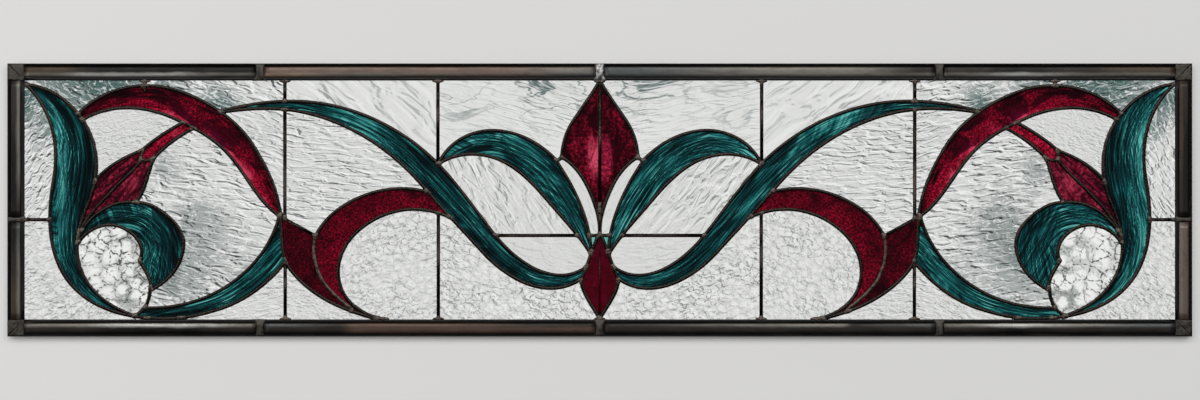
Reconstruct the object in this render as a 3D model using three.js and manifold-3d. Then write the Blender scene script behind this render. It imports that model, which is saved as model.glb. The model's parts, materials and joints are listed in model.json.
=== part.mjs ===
// Leaded stained glass window panel: a wide, low light with a scrolling leaf and bud pattern.
// Millimetres, +Z up. X runs along the panel and Y through its thickness, front towards -Y.
// The origin is the middle of the sill edge, the underside of the bottom bar.

import * as THREE from 'three';
import { mergeVertices } from 'three/addons/utils/BufferGeometryUtils.js';
import Module from 'manifold-3d';

// ---- driving sizes ---------------------------------------------------------------------

const PANEL_WIDTH = 1102;
const PANEL_HEIGHT = 254;
const BAR_WIDTH = 15.9; // border came, 5/8 in
const CAME_FACE = 3.3; // inner came, 1/8 in face
const CAME_HALF_DEPTH = 2.6;
const GLASS_THICKNESS = 3.0;
const FIT_GAP = 0.3; // clearance between pieces that touch

const RIM_WIDTH = 1.1; // thin rim along the outer edge of the border
const RIM_HALF_DEPTH = 3.0;
const CROWN_START = 3.1; // raised face of the border came, from its outer edge
const CROWN_END = 12.2;
const CROWN_SHOULDER = 3.5;
const CROWN_HALF_DEPTH = 4.0;
const CORNER_HALF_DEPTH = 3.3; // flat solder over each mitre
const BLOCK_WIDTH = 9.2; // solder across the border where two lengths of came meet
const BLOCK_HALF_DEPTH = 3.6;
const RAIL_BLOCKS = [-316, 0, 316];
const STILE_BLOCK_WIDTH = 5.6;
const MARGIN_RAIL_HEIGHT = 108.7;
const STEP_ANGLE = 20; // degrees of turn per facet along a curved came

const HALF_WIDTH = PANEL_WIDTH / 2;
const LIGHT_HALF = HALF_WIDTH - BAR_WIDTH;
const LIGHT_BOTTOM = BAR_WIDTH;
const LIGHT_TOP = PANEL_HEIGHT - BAR_WIDTH;

// ---- the pattern: came centre lines on the left half -------------------------------------
// Each stop is [x, z, heading]: the came passes x, z in that heading, degrees from +X.

const curves = {
  leaf_outer: [[-536, 236, -40], [-508, 147.5, -100], [-500, 60, -61], [-421.5, 17.5, -4]],
  leaf_inner: [[-534, 234.5, -5], [-480, 199.5, -57], [-477, 121, -114], [-484.5, 67.5, -76], [-432, 19, -17]],
  arch_outer: [[-485.5, 207, 46], [-385, 226, -22], [-322, 177, -58], [-297, 111, -85]],
  arch_inner: [[-481.5, 201.5, 31], [-397.5, 203.5, -24], [-345.5, 169.5, -48], [-297.5, 111.5, -34]],
  stalk_upper: [[-388, 199, -151], [-426, 173, -137]],
  stalk_lower: [[-378, 194, -151], [-415.5, 165.5, -132]],
  bud_upper: [[-426, 173, -160], [-470.5, 143.5, -128]],
  bud_right: [[-415.5, 165.5, -110], [-431.5, 125, -128]],
  curl_outer: [[-485, 93.5, 61], [-439.5, 125, 2], [-413.5, 120, -30], [-387.5, 82, -97], [-417, 43.5, -153]],
  curl_inner: [[-485.5, 87, 57], [-447.5, 102.5, -17], [-428, 70.5, -115]],
  curl_throat: [[-428, 70.5, -65], [-418, 44.5, -97]],
  eye_stem: [[-418, 45.5, -101], [-421, 31.5, -113], [-433.5, 19.5, -165]],
  crescent_inner: [[-423, 26.5, -2], [-343.5, 49, 35], [-298, 112.5, 76]],
  crescent_outer: [[-421.5, 17.5, -7], [-351, 26.5, 19], [-290.5, 72, 52]],
  petal_left: [[-298.5, 112.5, -73], [-288.5, 63, -53], [-207, 16.5, -13]],
  petal_vein: [[-264.5, 93.5, -105], [-259.5, 55, -64], [-230.5, 25, -42]],
  hook_outer: [[-264.5, 93.5, 63], [-222, 130, 22], [-160.5, 134.5, -15]],
  hook_inner: [[-140, 111, 155], [-189.5, 116.5, -167], [-231, 92, -131], [-241, 46, -71], [-196, 15, -8]],
  ribbon_upper: [[-353, 209.5, 15], [-249.5, 215, -12], [-164, 173, -40], [-97, 93.5, -51], [-13, 64.5, 36]],
  ribbon_lower: [[-353, 208.5, 9], [-273, 208, -13], [-162.5, 137.5, -50], [-109.5, 79, -48], [-17.5, 53.5, 35]],
  inner_upper: [[-150.5, 160, 66], [-95.5, 191.5, -4], [-39.5, 163, -47]],
  inner_right: [[-40.5, 163.5, -56], [-8, 79, -87]],
  inner_lower: [[-151, 160, 34], [-92.5, 164, -24], [-42, 119, -49], [-8, 76, -59]],
  flower_side: [[0, 238.5, -118], [-26, 198.5, -122], [-35.5, 166.5, -93]],
  flower_base: [[-36, 167, -28], [-8, 131.5, -68], [-0.5, 94, -96]],
  gem_upper: [[-1, 94.5, -116], [-17.5, 52, -114]],
  gem_lower: [[-17.5, 52, -83], [0, 16, -62]],
};

const REACH = 1; // straight leads start this far under the border came
const straights = {
  corner_lead: [[-537, 239], [-534.5, 235.5]],
  margin_rail: [[-LIGHT_HALF - REACH, MARGIN_RAIL_HEIGHT], [-511, MARGIN_RAIL_HEIGHT]],
  bud_collar: [[-426, 173], [-427, 164.5]],
  bud_collar_lower: [[-427, 164.5], [-421.5, 163.5], [-415.5, 165.5]],
  crescent_foot: [[-421, 18], [-421, LIGHT_BOTTOM - REACH]],
  crescent_foot_inner: [[-389.5, 18], [-389.5, LIGHT_BOTTOM - REACH]],
  petal_top: [[-298, 112], [-264.5, 93.5]],
  petal_foot: [[-205, 16.5], [-205, LIGHT_BOTTOM - REACH]],
  mullion_outer_head: [[-293, LIGHT_TOP + REACH], [-293, 218]],
  mullion_outer: [[-293, 212], [-293, 109.5]],
  mullion_outer_foot: [[-292.7, 72], [-292.7, LIGHT_BOTTOM - REACH]],
  mullion_inner_head: [[-150.6, LIGHT_TOP + REACH], [-150.6, 162]],
  mullion_inner_foot: [[-150.2, 116], [-150.2, LIGHT_BOTTOM - REACH]],
  flower_link: [[-41, 162.5], [-35.5, 166.5]],
  gusset: [[-5, 94], [-5.6, 84]],
};

const centre_straights = {
  flower_tip: [[0, LIGHT_TOP + REACH], [0, 236]],
  flower_midrib: [[0, 237], [0, 118]],
  flower_foot: [[0, 122], [0, 93]],
  foot_rail: [[-8.5, 94], [8.5, 94]],
  gem_foot: [[0, 17.5], [0, LIGHT_BOTTOM - REACH]],
};

// ---- the panes: a point inside each, on the left half ------------------------------------

const panes = [
  { name: 'margin_upper', glass: 'clear', at: [-522.8, 164.6] },
  { name: 'margin_lower', glass: 'clear', at: [-521, 53] },
  { name: 'outer_leaf', glass: 'teal', at: [-488.4, 155.3] },
  { name: 'head', glass: 'clear', at: [-343.9, 225.1] },
  { name: 'arch_side', glass: 'clear', at: [-306.7, 183.2] },
  { name: 'arch', glass: 'ruby', at: [-390.5, 215.8] },
  { name: 'under_arch', glass: 'clear', at: [-441.8, 187.9] },
  { name: 'bud_stalk', glass: 'ruby', at: [-401.7, 182.3] },
  { name: 'bud', glass: 'ruby', at: [-444.6, 148] },
  { name: 'curl', glass: 'teal', at: [-404.5, 85.5] },
  { name: 'curl_eye', glass: 'clear', at: [-455.8, 76.2] },
  { name: 'bay', glass: 'clear', at: [-353.2, 127.4] },
  { name: 'crescent', glass: 'teal', at: [-343.9, 41.8] },
  { name: 'crescent_base', glass: 'clear', at: [-311.3, 29.7] },
  { name: 'petal', glass: 'ruby', at: [-278.7, 66.9] },
  { name: 'hook', glass: 'ruby', at: [-250.7, 80.9] },
  { name: 'valley', glass: 'clear', at: [-250.7, 155.3] },
  { name: 'petal_base', glass: 'clear', at: [-278.7, 29.7] },
  { name: 'hook_bowl', glass: 'clear', at: [-194.8, 71.5] },
  { name: 'base', glass: 'clear', at: [-92.3, 34.3] },
  { name: 'brow', glass: 'clear', at: [-194.8, 220.4] },
  { name: 'ribbon', glass: 'teal', at: [-185.5, 173.9] },
  { name: 'crown', glass: 'clear', at: [-73.7, 220.4] },
  { name: 'inner_leaf', glass: 'teal', at: [-92.3, 178.5] },
  { name: 'loop', glass: 'clear', at: [-92.3, 127.4] },
  { name: 'flower_gap', glass: 'clear', at: [-19.7, 136.7] },
  { name: 'flower', glass: 'ruby', at: [-17.8, 173.9] },
];
const GEM_AT = [0, 52.9];

const finishes = {
  clear: { color: 0xdfe6e4, roughness: 0.12, metalness: 0 },
  teal: { color: 0x1c7773, roughness: 0.12, metalness: 0 },
  ruby: { color: 0x86112c, roughness: 0.12, metalness: 0 },
  came: { color: 0x2b2723, roughness: 0.45, metalness: 0.8 },
  border: { color: 0x35302b, roughness: 0.4, metalness: 0.85 },
};

// ---- curves -----------------------------------------------------------------------------

const RAD = Math.PI / 180;

function wrapAngle(angle) {
  return Math.atan2(Math.sin(angle), Math.cos(angle));
}

// How far a fair curve runs along its heading before it bends, as a share of its chord.
function handleShare(leave, arrive) {
  const skew = Math.SQRT2 * (Math.sin(leave) - Math.sin(arrive) / 16)
    * (Math.sin(arrive) - Math.sin(leave) / 16) * (Math.cos(leave) - Math.cos(arrive));
  const spread = 1 + 0.5 * (Math.sqrt(5) - 1) * Math.cos(leave) + 0.5 * (3 - Math.sqrt(5)) * Math.cos(arrive);
  return (2 + skew) / (3 * spread);
}

// Points along one fair span between two stops, without the first point.
function fairSpan(from, to) {
  const [x0, z0, heading0] = from;
  const [x1, z1, heading1] = to;
  const chord = Math.hypot(x1 - x0, z1 - z0);
  const bearing = Math.atan2(z1 - z0, x1 - x0);
  const leave = wrapAngle(heading0 * RAD - bearing);
  const arrive = wrapAngle(bearing - heading1 * RAD);
  const reach0 = chord * handleShare(leave, arrive);
  const reach1 = chord * handleShare(arrive, leave);
  const span = new THREE.CubicBezierCurve(
    new THREE.Vector2(x0, z0),
    new THREE.Vector2(x0 + reach0 * Math.cos(heading0 * RAD), z0 + reach0 * Math.sin(heading0 * RAD)),
    new THREE.Vector2(x1 - reach1 * Math.cos(heading1 * RAD), z1 - reach1 * Math.sin(heading1 * RAD)),
    new THREE.Vector2(x1, z1),
  );
  const turn = (Math.abs(leave) + Math.abs(arrive)) / RAD;
  const steps = Math.max(1, Math.ceil(turn / STEP_ANGLE));
  return span.getPoints(steps).slice(1);
}

function fairLine(stops) {
  const points = [new THREE.Vector2(stops[0][0], stops[0][1])];
  for (let i = 1; i < stops.length; i += 1) {
    points.push(...fairSpan(stops[i - 1], stops[i]));
  }
  return points;
}

function straightLine(stops) {
  return stops.map(([x, z]) => new THREE.Vector2(x, z));
}

function mirrored(points) {
  return points.map((p) => new THREE.Vector2(-p.x, p.y)).reverse();
}

function allLines() {
  const left = [];
  for (const stops of Object.values(curves)) {
    left.push(fairLine(stops));
  }
  for (const stops of Object.values(straights)) {
    left.push(straightLine(stops));
  }
  const lines = [...left, ...left.map(mirrored)];
  for (const stops of Object.values(centre_straights)) {
    lines.push(straightLine(stops));
  }
  return lines;
}

// ---- solids -----------------------------------------------------------------------------

const wasm = await Module();
wasm.setup();

function toSolid(geometry) {
  geometry.deleteAttribute('normal');
  geometry.deleteAttribute('uv');
  const merged = mergeVertices(geometry, 1e-5);
  const vertProperties = new Float32Array(merged.attributes.position.array);
  const triVerts = new Uint32Array(merged.index.array);
  return new wasm.Manifold(new wasm.Mesh({ numProp: 3, vertProperties, triVerts }));
}

function toGeometry(solid) {
  const mesh = solid.getMesh();
  const geometry = new THREE.BufferGeometry();
  const positions = [];
  for (let i = 0; i < mesh.vertProperties.length; i += mesh.numProp) {
    positions.push(mesh.vertProperties[i], mesh.vertProperties[i + 1], mesh.vertProperties[i + 2]);
  }
  geometry.setAttribute('position', new THREE.Float32BufferAttribute(positions, 3));
  geometry.setIndex(Array.from(mesh.triVerts));
  return geometry;
}

function unionAll(solids) {
  let queue = solids;
  while (queue.length > 1) {
    const next = [];
    for (let i = 0; i < queue.length; i += 2) {
      next.push(i + 1 < queue.length ? queue[i].add(queue[i + 1]) : queue[i]);
    }
    queue = next;
  }
  return queue[0];
}

function boxSolid(x0, x1, y0, y1, z0, z1) {
  const box = new THREE.BoxGeometry(x1 - x0, y1 - y0, z1 - z0);
  box.translate((x0 + x1) / 2, (y0 + y1) / 2, (z0 + z1) / 2);
  return toSolid(box);
}

// Outline of a strip of even width along a line, mitred at each facet.
function stripOutline(points, halfWidth) {
  const near = [];
  const far = [];
  for (let i = 0; i < points.length; i += 1) {
    const before = points[Math.max(0, i - 1)];
    const after = points[Math.min(points.length - 1, i + 1)];
    const into = points[i].clone().sub(before).normalize();
    const out = after.clone().sub(points[i]).normalize();
    const heading = i === 0 ? out : i === points.length - 1 ? into : into.clone().add(out).normalize();
    const stretch = i === 0 || i === points.length - 1 ? 1 : 1 / heading.dot(into);
    const side = new THREE.Vector2(-heading.y, heading.x).multiplyScalar(halfWidth * stretch);
    near.push(points[i].clone().add(side));
    far.push(points[i].clone().sub(side));
  }
  return [...near, ...far.reverse()];
}

// A flat prism over an outline in the panel's plane, between two depths.
function plateSolid(outline, y0, y1) {
  const shape = new THREE.Shape(outline);
  const plate = new THREE.ExtrudeGeometry(shape, { depth: y1 - y0, bevelEnabled: false });
  plate.rotateX(Math.PI / 2);
  plate.translate(0, y1, 0);
  return toSolid(plate);
}

function stripSolids(lines, halfWidth, y0, y1) {
  return unionAll(lines.map((points) => plateSolid(stripOutline(points, halfWidth), y0, y1)));
}

// The light inside the border came, a fit gap clear of it all round.
function openingSolid(halfDepth) {
  return boxSolid(
    -LIGHT_HALF + FIT_GAP, LIGHT_HALF - FIT_GAP,
    -halfDepth, halfDepth,
    LIGHT_BOTTOM + FIT_GAP, LIGHT_TOP - FIT_GAP,
  );
}

// The soldered came between the panes.
function buildLattice(lines) {
  const strips = stripSolids(lines, CAME_FACE / 2, -CAME_HALF_DEPTH, CAME_HALF_DEPTH);
  return strips.intersect(openingSolid(CAME_HALF_DEPTH + 1));
}

// The glass layer, cut apart along the came.
function buildGlassLayer(lines) {
  const sheet = openingSolid(GLASS_THICKNESS / 2);
  const cuts = stripSolids(lines, CAME_FACE / 2 + FIT_GAP, -GLASS_THICKNESS, GLASS_THICKNESS);
  return sheet.subtract(cuts);
}

// Separates a geometry into its connected pieces.
function separatePieces(geometry) {
  const welded = mergeVertices(geometry, 1e-5);
  const index = welded.index.array;
  const position = welded.attributes.position;
  const owner = Array.from({ length: position.count }, (_, i) => i);
  const root = (i) => {
    let at = i;
    while (owner[at] !== at) {
      owner[at] = owner[owner[at]];
      at = owner[at];
    }
    return at;
  };
  for (let i = 0; i < index.length; i += 3) {
    owner[root(index[i + 1])] = root(index[i]);
    owner[root(index[i + 2])] = root(index[i]);
  }
  const groups = new Map();
  for (let i = 0; i < index.length; i += 3) {
    const key = root(index[i]);
    if (!groups.has(key)) {
      groups.set(key, []);
    }
    groups.get(key).push(index[i], index[i + 1], index[i + 2]);
  }
  return [...groups.values()].map((triangles) => {
    const renumber = new Map();
    const positions = [];
    const faces = triangles.map((v) => {
      if (!renumber.has(v)) {
        renumber.set(v, renumber.size);
        positions.push(position.getX(v), position.getY(v), position.getZ(v));
      }
      return renumber.get(v);
    });
    const piece = new THREE.BufferGeometry();
    piece.setAttribute('position', new THREE.Float32BufferAttribute(positions, 3));
    piece.setIndex(faces);
    return piece;
  });
}

// Whether a flat pane covers a point of the panel's plane.
function covers(piece, [x, z]) {
  const position = piece.attributes.position;
  const index = piece.index.array;
  const ray = new THREE.Ray(new THREE.Vector3(x, -100, z), new THREE.Vector3(0, 1, 0));
  const corner = [new THREE.Vector3(), new THREE.Vector3(), new THREE.Vector3()];
  const hit = new THREE.Vector3();
  for (let i = 0; i < index.length; i += 3) {
    corner.forEach((v, k) => v.fromBufferAttribute(position, index[i + k]));
    if (ray.intersectTriangle(corner[0], corner[1], corner[2], false, hit)) {
      return true;
    }
  }
  return false;
}

// ---- border came ------------------------------------------------------------------------
// A bar is drawn with its outer edge along the run and v measured inwards from that edge.

function borderSection() {
  const half = [
    [0, RIM_HALF_DEPTH],
    [RIM_WIDTH, RIM_HALF_DEPTH],
    [RIM_WIDTH, CAME_HALF_DEPTH],
    [BAR_WIDTH, CAME_HALF_DEPTH],
  ];
  const front = half.map(([v, d]) => [v, -d]);
  return [...front, ...half.reverse()];
}

function crownSection() {
  const low = CAME_HALF_DEPTH - 0.4;
  const half = [
    [CROWN_START, low],
    [CROWN_START, CROWN_SHOULDER],
    [CROWN_START + 1.6, CROWN_HALF_DEPTH - 0.12],
    [(CROWN_START + CROWN_END) / 2, CROWN_HALF_DEPTH],
    [CROWN_END - 1.6, CROWN_HALF_DEPTH - 0.12],
    [CROWN_END, CROWN_SHOULDER],
    [CROWN_END, low],
  ];
  const front = half.map(([v, d]) => [v, -d]);
  return [...front, ...half.reverse()];
}

// Sweeps a section along the run from one end to the other, each end square or mitred.
function barSolid(section, start, end, mitred) {
  const shape = new THREE.Shape(section.map(([v, d]) => new THREE.Vector2(v, d)));
  const prism = new THREE.ExtrudeGeometry(shape, { depth: 1, bevelEnabled: false });
  const position = prism.attributes.position;
  for (let i = 0; i < position.count; i += 1) {
    const v = position.getX(i);
    const depth = -position.getY(i);
    const slope = mitred ? v : 0;
    const along = position.getZ(i) > 0.5 ? end - slope : start + slope;
    position.setXYZ(i, along, depth, v);
  }
  return toSolid(prism);
}

// A flat pad across the full width of the bar, through its depth.
function padSection(halfDepth) {
  return [[0, -halfDepth], [BAR_WIDTH, -halfDepth], [BAR_WIDTH, halfDepth], [0, halfDepth]];
}

// One length of border came, lying along X with its outer edge at z = 0.
function buildBar(length, blocks, blockWidth) {
  const half = length / 2;
  const gap = FIT_GAP / Math.SQRT2;
  const face = half - BAR_WIDTH;
  const solids = [barSolid(borderSection(), -half + gap, half - gap, true)];
  const edges = [-face, ...blocks.flatMap((x) => [x - blockWidth / 2, x + blockWidth / 2]), face];
  for (let i = 0; i < edges.length; i += 2) {
    solids.push(barSolid(crownSection(), edges[i], edges[i + 1], false));
  }
  for (const x of blocks) {
    solids.push(barSolid(padSection(BLOCK_HALF_DEPTH), x - blockWidth / 2, x + blockWidth / 2, false));
  }
  const corners = barSolid(padSection(CORNER_HALF_DEPTH), -half + gap, half - gap, true);
  const middle = boxSolid(-face, face, -BAR_WIDTH, BAR_WIDTH, -1, BAR_WIDTH + 1);
  solids.push(corners.subtract(middle));
  return unionAll(solids);
}

function placeBar(solid, turn, x, z) {
  const geometry = toGeometry(solid);
  geometry.rotateY(-turn * RAD);
  geometry.translate(x, 0, z);
  return geometry;
}

// ---- assembly ---------------------------------------------------------------------------

const group = new THREE.Group();
group.name = 'stained_glass_window';

function addNode(name, geometry, finish) {
  const mesh = new THREE.Mesh(geometry, new THREE.MeshStandardMaterial(finishes[finish]));
  mesh.name = name;
  group.add(mesh);
}

const lines = allLines();
addNode('inner_came', toGeometry(buildLattice(lines)), 'came');

const rail = buildBar(PANEL_WIDTH, RAIL_BLOCKS, BLOCK_WIDTH);
const toMiddle = MARGIN_RAIL_HEIGHT - PANEL_HEIGHT / 2;
const leftStile = buildBar(PANEL_HEIGHT, [-toMiddle], STILE_BLOCK_WIDTH);
const rightStile = buildBar(PANEL_HEIGHT, [toMiddle], STILE_BLOCK_WIDTH);
addNode('bottom_bar', placeBar(rail, 0, 0, 0), 'border');
addNode('top_bar', placeBar(rail, 180, 0, PANEL_HEIGHT), 'border');
addNode('left_bar', placeBar(leftStile, -90, -HALF_WIDTH, PANEL_HEIGHT / 2), 'border');
addNode('right_bar', placeBar(rightStile, 90, HALF_WIDTH, PANEL_HEIGHT / 2), 'border');

const pieces = separatePieces(toGeometry(buildGlassLayer(lines)));

function addPane(name, glass, at) {
  const found = pieces.filter((piece) => covers(piece, at));
  if (found.length !== 1) {
    throw new Error(`pane ${name} covers ${found.length} pieces of glass`);
  }
  if (found[0].userData.used) {
    throw new Error(`pane ${name} shares its glass with ${found[0].userData.used}`);
  }
  found[0].userData.used = name;
  addNode(name, found[0], glass);
}

for (const { name, glass, at } of panes) {
  addPane(`${name}_left`, glass, at);
  addPane(`${name}_right`, glass, [-at[0], at[1]]);
}
addPane('gem', 'ruby', GEM_AT);

export default group;
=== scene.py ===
"""Dresses the leaded stained glass window panel on its CAD frame.

The panel stands in the XZ plane, front towards -Y, with its sill edge at z = 0.
Every length in the drawing tables is in millimetres and becomes metres when built.
"""

import json
import logging
import math
import random
from dataclasses import dataclass, field
from enum import Enum

import bmesh
import bpy
import numpy as np
from mathutils import Matrix, Vector, noise
from mathutils.geometry import delaunay_2d_cdt

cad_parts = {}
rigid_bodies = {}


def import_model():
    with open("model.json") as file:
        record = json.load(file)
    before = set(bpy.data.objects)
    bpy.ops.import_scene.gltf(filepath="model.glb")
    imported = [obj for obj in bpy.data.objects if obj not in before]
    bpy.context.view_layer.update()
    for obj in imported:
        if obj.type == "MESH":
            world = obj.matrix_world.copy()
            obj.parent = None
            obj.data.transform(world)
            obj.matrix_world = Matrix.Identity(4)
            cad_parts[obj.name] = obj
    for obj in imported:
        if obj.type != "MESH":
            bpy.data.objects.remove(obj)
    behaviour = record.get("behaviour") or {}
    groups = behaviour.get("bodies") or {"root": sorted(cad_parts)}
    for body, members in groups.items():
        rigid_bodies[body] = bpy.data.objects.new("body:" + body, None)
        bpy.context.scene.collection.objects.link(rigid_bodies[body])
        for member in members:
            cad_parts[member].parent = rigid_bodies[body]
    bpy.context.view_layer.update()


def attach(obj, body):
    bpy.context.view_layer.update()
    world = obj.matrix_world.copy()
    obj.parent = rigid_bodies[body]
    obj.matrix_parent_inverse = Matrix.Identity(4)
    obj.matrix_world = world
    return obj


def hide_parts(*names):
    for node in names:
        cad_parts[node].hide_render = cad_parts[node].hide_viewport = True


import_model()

logging.basicConfig(level=logging.INFO, format="%(message)s")
LOG = logging.getLogger("window")

MM = 0.001
PANEL_WIDTH = 1102.0
PANEL_HEIGHT = 254.0
PANEL_HALF_DEPTH = 4.0
MIDDLE_HEIGHT = PANEL_HEIGHT / 2 * MM
BAR_WIDTH = 15.9
LIGHT_HALF = PANEL_WIDTH / 2 - BAR_WIDTH
LIGHT_BOTTOM = BAR_WIDTH
LIGHT_TOP = PANEL_HEIGHT - BAR_WIDTH
MARK_UNIT = 100.0
USUAL_TONE = 0.6
LIGHTEST_TONE = 1.6

Point = tuple[float, float]
Stops = list[tuple[float, float, float]]
Patch = tuple[float, float, float, float]


class Glass(Enum):
    """The three kinds of glass in the panel."""

    CLEAR = "clear_glass"
    TEAL = "teal_glass"
    RUBY = "ruby_glass"


class Side(Enum):
    """Which half of the mirrored pattern a piece belongs to."""

    LEFT = 1
    RIGHT = -1


# --------------------------------------------------------------------------------------
# The drawing
# --------------------------------------------------------------------------------------

CURVES: dict[str, Stops] = {
    "leaf_outer": [(-536, 236, -40), (-508, 147.5, -100), (-500, 60, -61), (-421.5, 17.5, -4)],
    "leaf_inner": [(-534, 234.5, -5), (-480, 199.5, -57), (-477, 121, -114), (-484.5, 67.5, -76), (-432, 19, -17)],
    "arch_outer": [(-485.5, 207, 46), (-385, 226, -22), (-322, 177, -58), (-297, 111, -85)],
    "arch_inner": [(-481.5, 201.5, 31), (-397.5, 203.5, -24), (-345.5, 169.5, -48), (-297.5, 111.5, -34)],
    "stalk_upper": [(-388, 199, -151), (-426, 173, -137)],
    "stalk_lower": [(-378, 194, -151), (-415.5, 165.5, -132)],
    "bud_upper": [(-426, 173, -160), (-470.5, 143.5, -128)],
    "bud_right": [(-415.5, 165.5, -110), (-431.5, 125, -128)],
    "bud_vein": [(-426.5, 164.5, -122), (-452.5, 137, -132), (-483, 98, -112)],
    "curl_outer": [(-485, 93.5, 61), (-439.5, 125, 2), (-413.5, 120, -30), (-387.5, 82, -97), (-417, 43.5, -153)],
    "curl_inner": [(-485.5, 87, 57), (-447.5, 102.5, -17), (-428, 70.5, -115)],
    "curl_throat": [(-428, 70.5, -65), (-418, 44.5, -97)],
    "eye_stem": [(-418, 45.5, -101), (-421, 31.5, -113), (-433.5, 19.5, -165)],
    "crescent_inner": [(-423, 26.5, -2), (-343.5, 49, 35), (-298, 112.5, 76)],
    "crescent_outer": [(-421.5, 17.5, -7), (-351, 26.5, 19), (-290.5, 72, 52)],
    "petal_left": [(-298.5, 112.5, -73), (-288.5, 63, -53), (-207, 16.5, -13)],
    "petal_vein": [(-264.5, 93.5, -105), (-259.5, 55, -64), (-230.5, 25, -42)],
    "hook_outer": [(-264.5, 93.5, 63), (-222, 130, 22), (-160.5, 134.5, -15)],
    "hook_inner": [(-140, 111, 155), (-189.5, 116.5, -167), (-231, 92, -131), (-241, 46, -71), (-196, 15, -8)],
    "ribbon_upper": [(-353, 209.5, 15), (-249.5, 215, -12), (-164, 173, -40), (-97, 93.5, -51), (-13, 64.5, 36)],
    "ribbon_lower": [(-353, 208.5, 9), (-273, 208, -13), (-162.5, 137.5, -50), (-109.5, 79, -48), (-17.5, 53.5, 35)],
    "inner_upper": [(-150.5, 160, 66), (-95.5, 191.5, -4), (-39.5, 163, -47)],
    "inner_right": [(-40.5, 163.5, -56), (-8, 79, -87)],
    "inner_lower": [(-151, 160, 34), (-92.5, 164, -24), (-42, 119, -49), (-8, 76, -59)],
    "flower_side": [(0, 238.5, -118), (-26, 198.5, -122), (-35.5, 166.5, -93)],
    "flower_base": [(-36, 167, -28), (-8, 131.5, -68), (-0.5, 94, -96)],
    "gem_upper": [(-1, 94.5, -116), (-17.5, 52, -114)],
    "gem_lower": [(-17.5, 52, -83), (0, 16, -62)],
}

STRAIGHTS: dict[str, list[Point]] = {
    "margin_rail": [(-536.1, 108.7), (-507, 108.7)],
    "bud_collar": [(-426, 173), (-427, 164.5)],
    "bud_collar_lower": [(-427, 164.5), (-421.5, 163.5), (-415.5, 165.5)],
    "arch_tab": [(-423.3, 239), (-423.3, 229)],
    "crescent_foot": [(-421, 18), (-421, 14.9)],
    "crescent_foot_inner": [(-389.5, 18), (-389.5, 14.9)],
    "petal_top": [(-298, 112), (-264.5, 93.5)],
    "mullion_outer_head": [(-293, 239), (-293, 212)],
    "mullion_outer": [(-293, 214), (-293, 109.5)],
    "mullion_outer_foot": [(-292.7, 74), (-292.7, 14.9)],
    "mullion_inner_head": [(-150.6, 239), (-150.6, 159)],
    "mullion_inner_foot": [(-150.2, 118), (-150.2, 14.9)],
    "loop_rail": [(-99, 94), (-17, 94)],
    "flower_link": [(-41, 162.5), (-35.5, 166.5)],
    "foot_rail": [(-8.5, 94), (0, 94)],
}

CENTRE_STRAIGHTS: dict[str, list[Point]] = {
    "flower_tip": [(0, 239), (0, 236)],
    "flower_midrib": [(0, 237), (0, 118)],
    "flower_foot": [(0, 122), (0, 93)],
    "gem_seam": [(0, 95), (0, 15)],
}


def wrap_angle(angle: float) -> float:
    """Brings an angle in radians into the range from -pi to pi."""
    return math.atan2(math.sin(angle), math.cos(angle))


def handle_share(leave: float, arrive: float) -> float:
    """Gives a fair curve's handle length as a share of its chord.

    Args:
        leave: angle in radians between the chord and the heading at this end.
        arrive: the same angle at the other end.

    Returns:
        The share of the chord.
    """
    skew = math.sqrt(2) * (math.sin(leave) - math.sin(arrive) / 16)
    skew *= (math.sin(arrive) - math.sin(leave) / 16) * (math.cos(leave) - math.cos(arrive))
    spread = 1 + 0.5 * (math.sqrt(5) - 1) * math.cos(leave) + 0.5 * (3 - math.sqrt(5)) * math.cos(arrive)
    return (2 + skew) / (3 * spread)


def fair_line(stops: Stops, spacing: float = 2.5) -> np.ndarray:
    """Draws a fair curve through stops that each give a place and a heading.

    Args:
        stops: (x, z, heading in degrees) for each stop.
        spacing: rough distance between the points that come back.

    Returns:
        An array of x, z points.
    """
    points = [np.array(stops[0][:2], float)]
    for (x0, z0, h0), (x1, z1, h1) in zip(stops, stops[1:]):
        start, end = np.array([x0, z0], float), np.array([x1, z1], float)
        chord = float(np.linalg.norm(end - start))
        bearing = math.atan2(z1 - z0, x1 - x0)
        out, into = math.radians(h0), math.radians(h1)
        leave, arrive = wrap_angle(out - bearing), wrap_angle(bearing - into)
        first = start + chord * handle_share(leave, arrive) * np.array([math.cos(out), math.sin(out)])
        second = end - chord * handle_share(arrive, leave) * np.array([math.cos(into), math.sin(into)])
        count = max(3, round(chord / spacing))
        for step in range(1, count + 1):
            t = step / count
            s = 1 - t
            points.append(s**3 * start + 3 * s * s * t * first + 3 * s * t * t * second + t**3 * end)
    return np.array(points)


def mirrored(points: np.ndarray) -> np.ndarray:
    """Mirrors points to the other half of the panel, keeping their sense."""
    return (points * np.array([-1.0, 1.0]))[::-1]


@dataclass
class Cartoon:
    """The full-size drawing: every centre line of the inner came, by name and side."""

    lines: dict[str, np.ndarray] = field(default_factory=dict)

    def draw(self) -> "Cartoon":
        """Draws every line on both halves and returns the drawing."""
        for name, stops in CURVES.items():
            self.add(name, fair_line(stops))
        for name, stops in STRAIGHTS.items():
            self.add(name, np.array(stops, float))
        for name, stops in CENTRE_STRAIGHTS.items():
            self.lines[name] = np.array(stops, float)
        return self

    def add(self, name: str, points: np.ndarray) -> None:
        """Adds a line and its mirror image."""
        self.lines[f"{name}.left"] = points
        self.lines[f"{name}.right"] = mirrored(points)


# --------------------------------------------------------------------------------------
# Mesh helpers
# --------------------------------------------------------------------------------------


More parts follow.
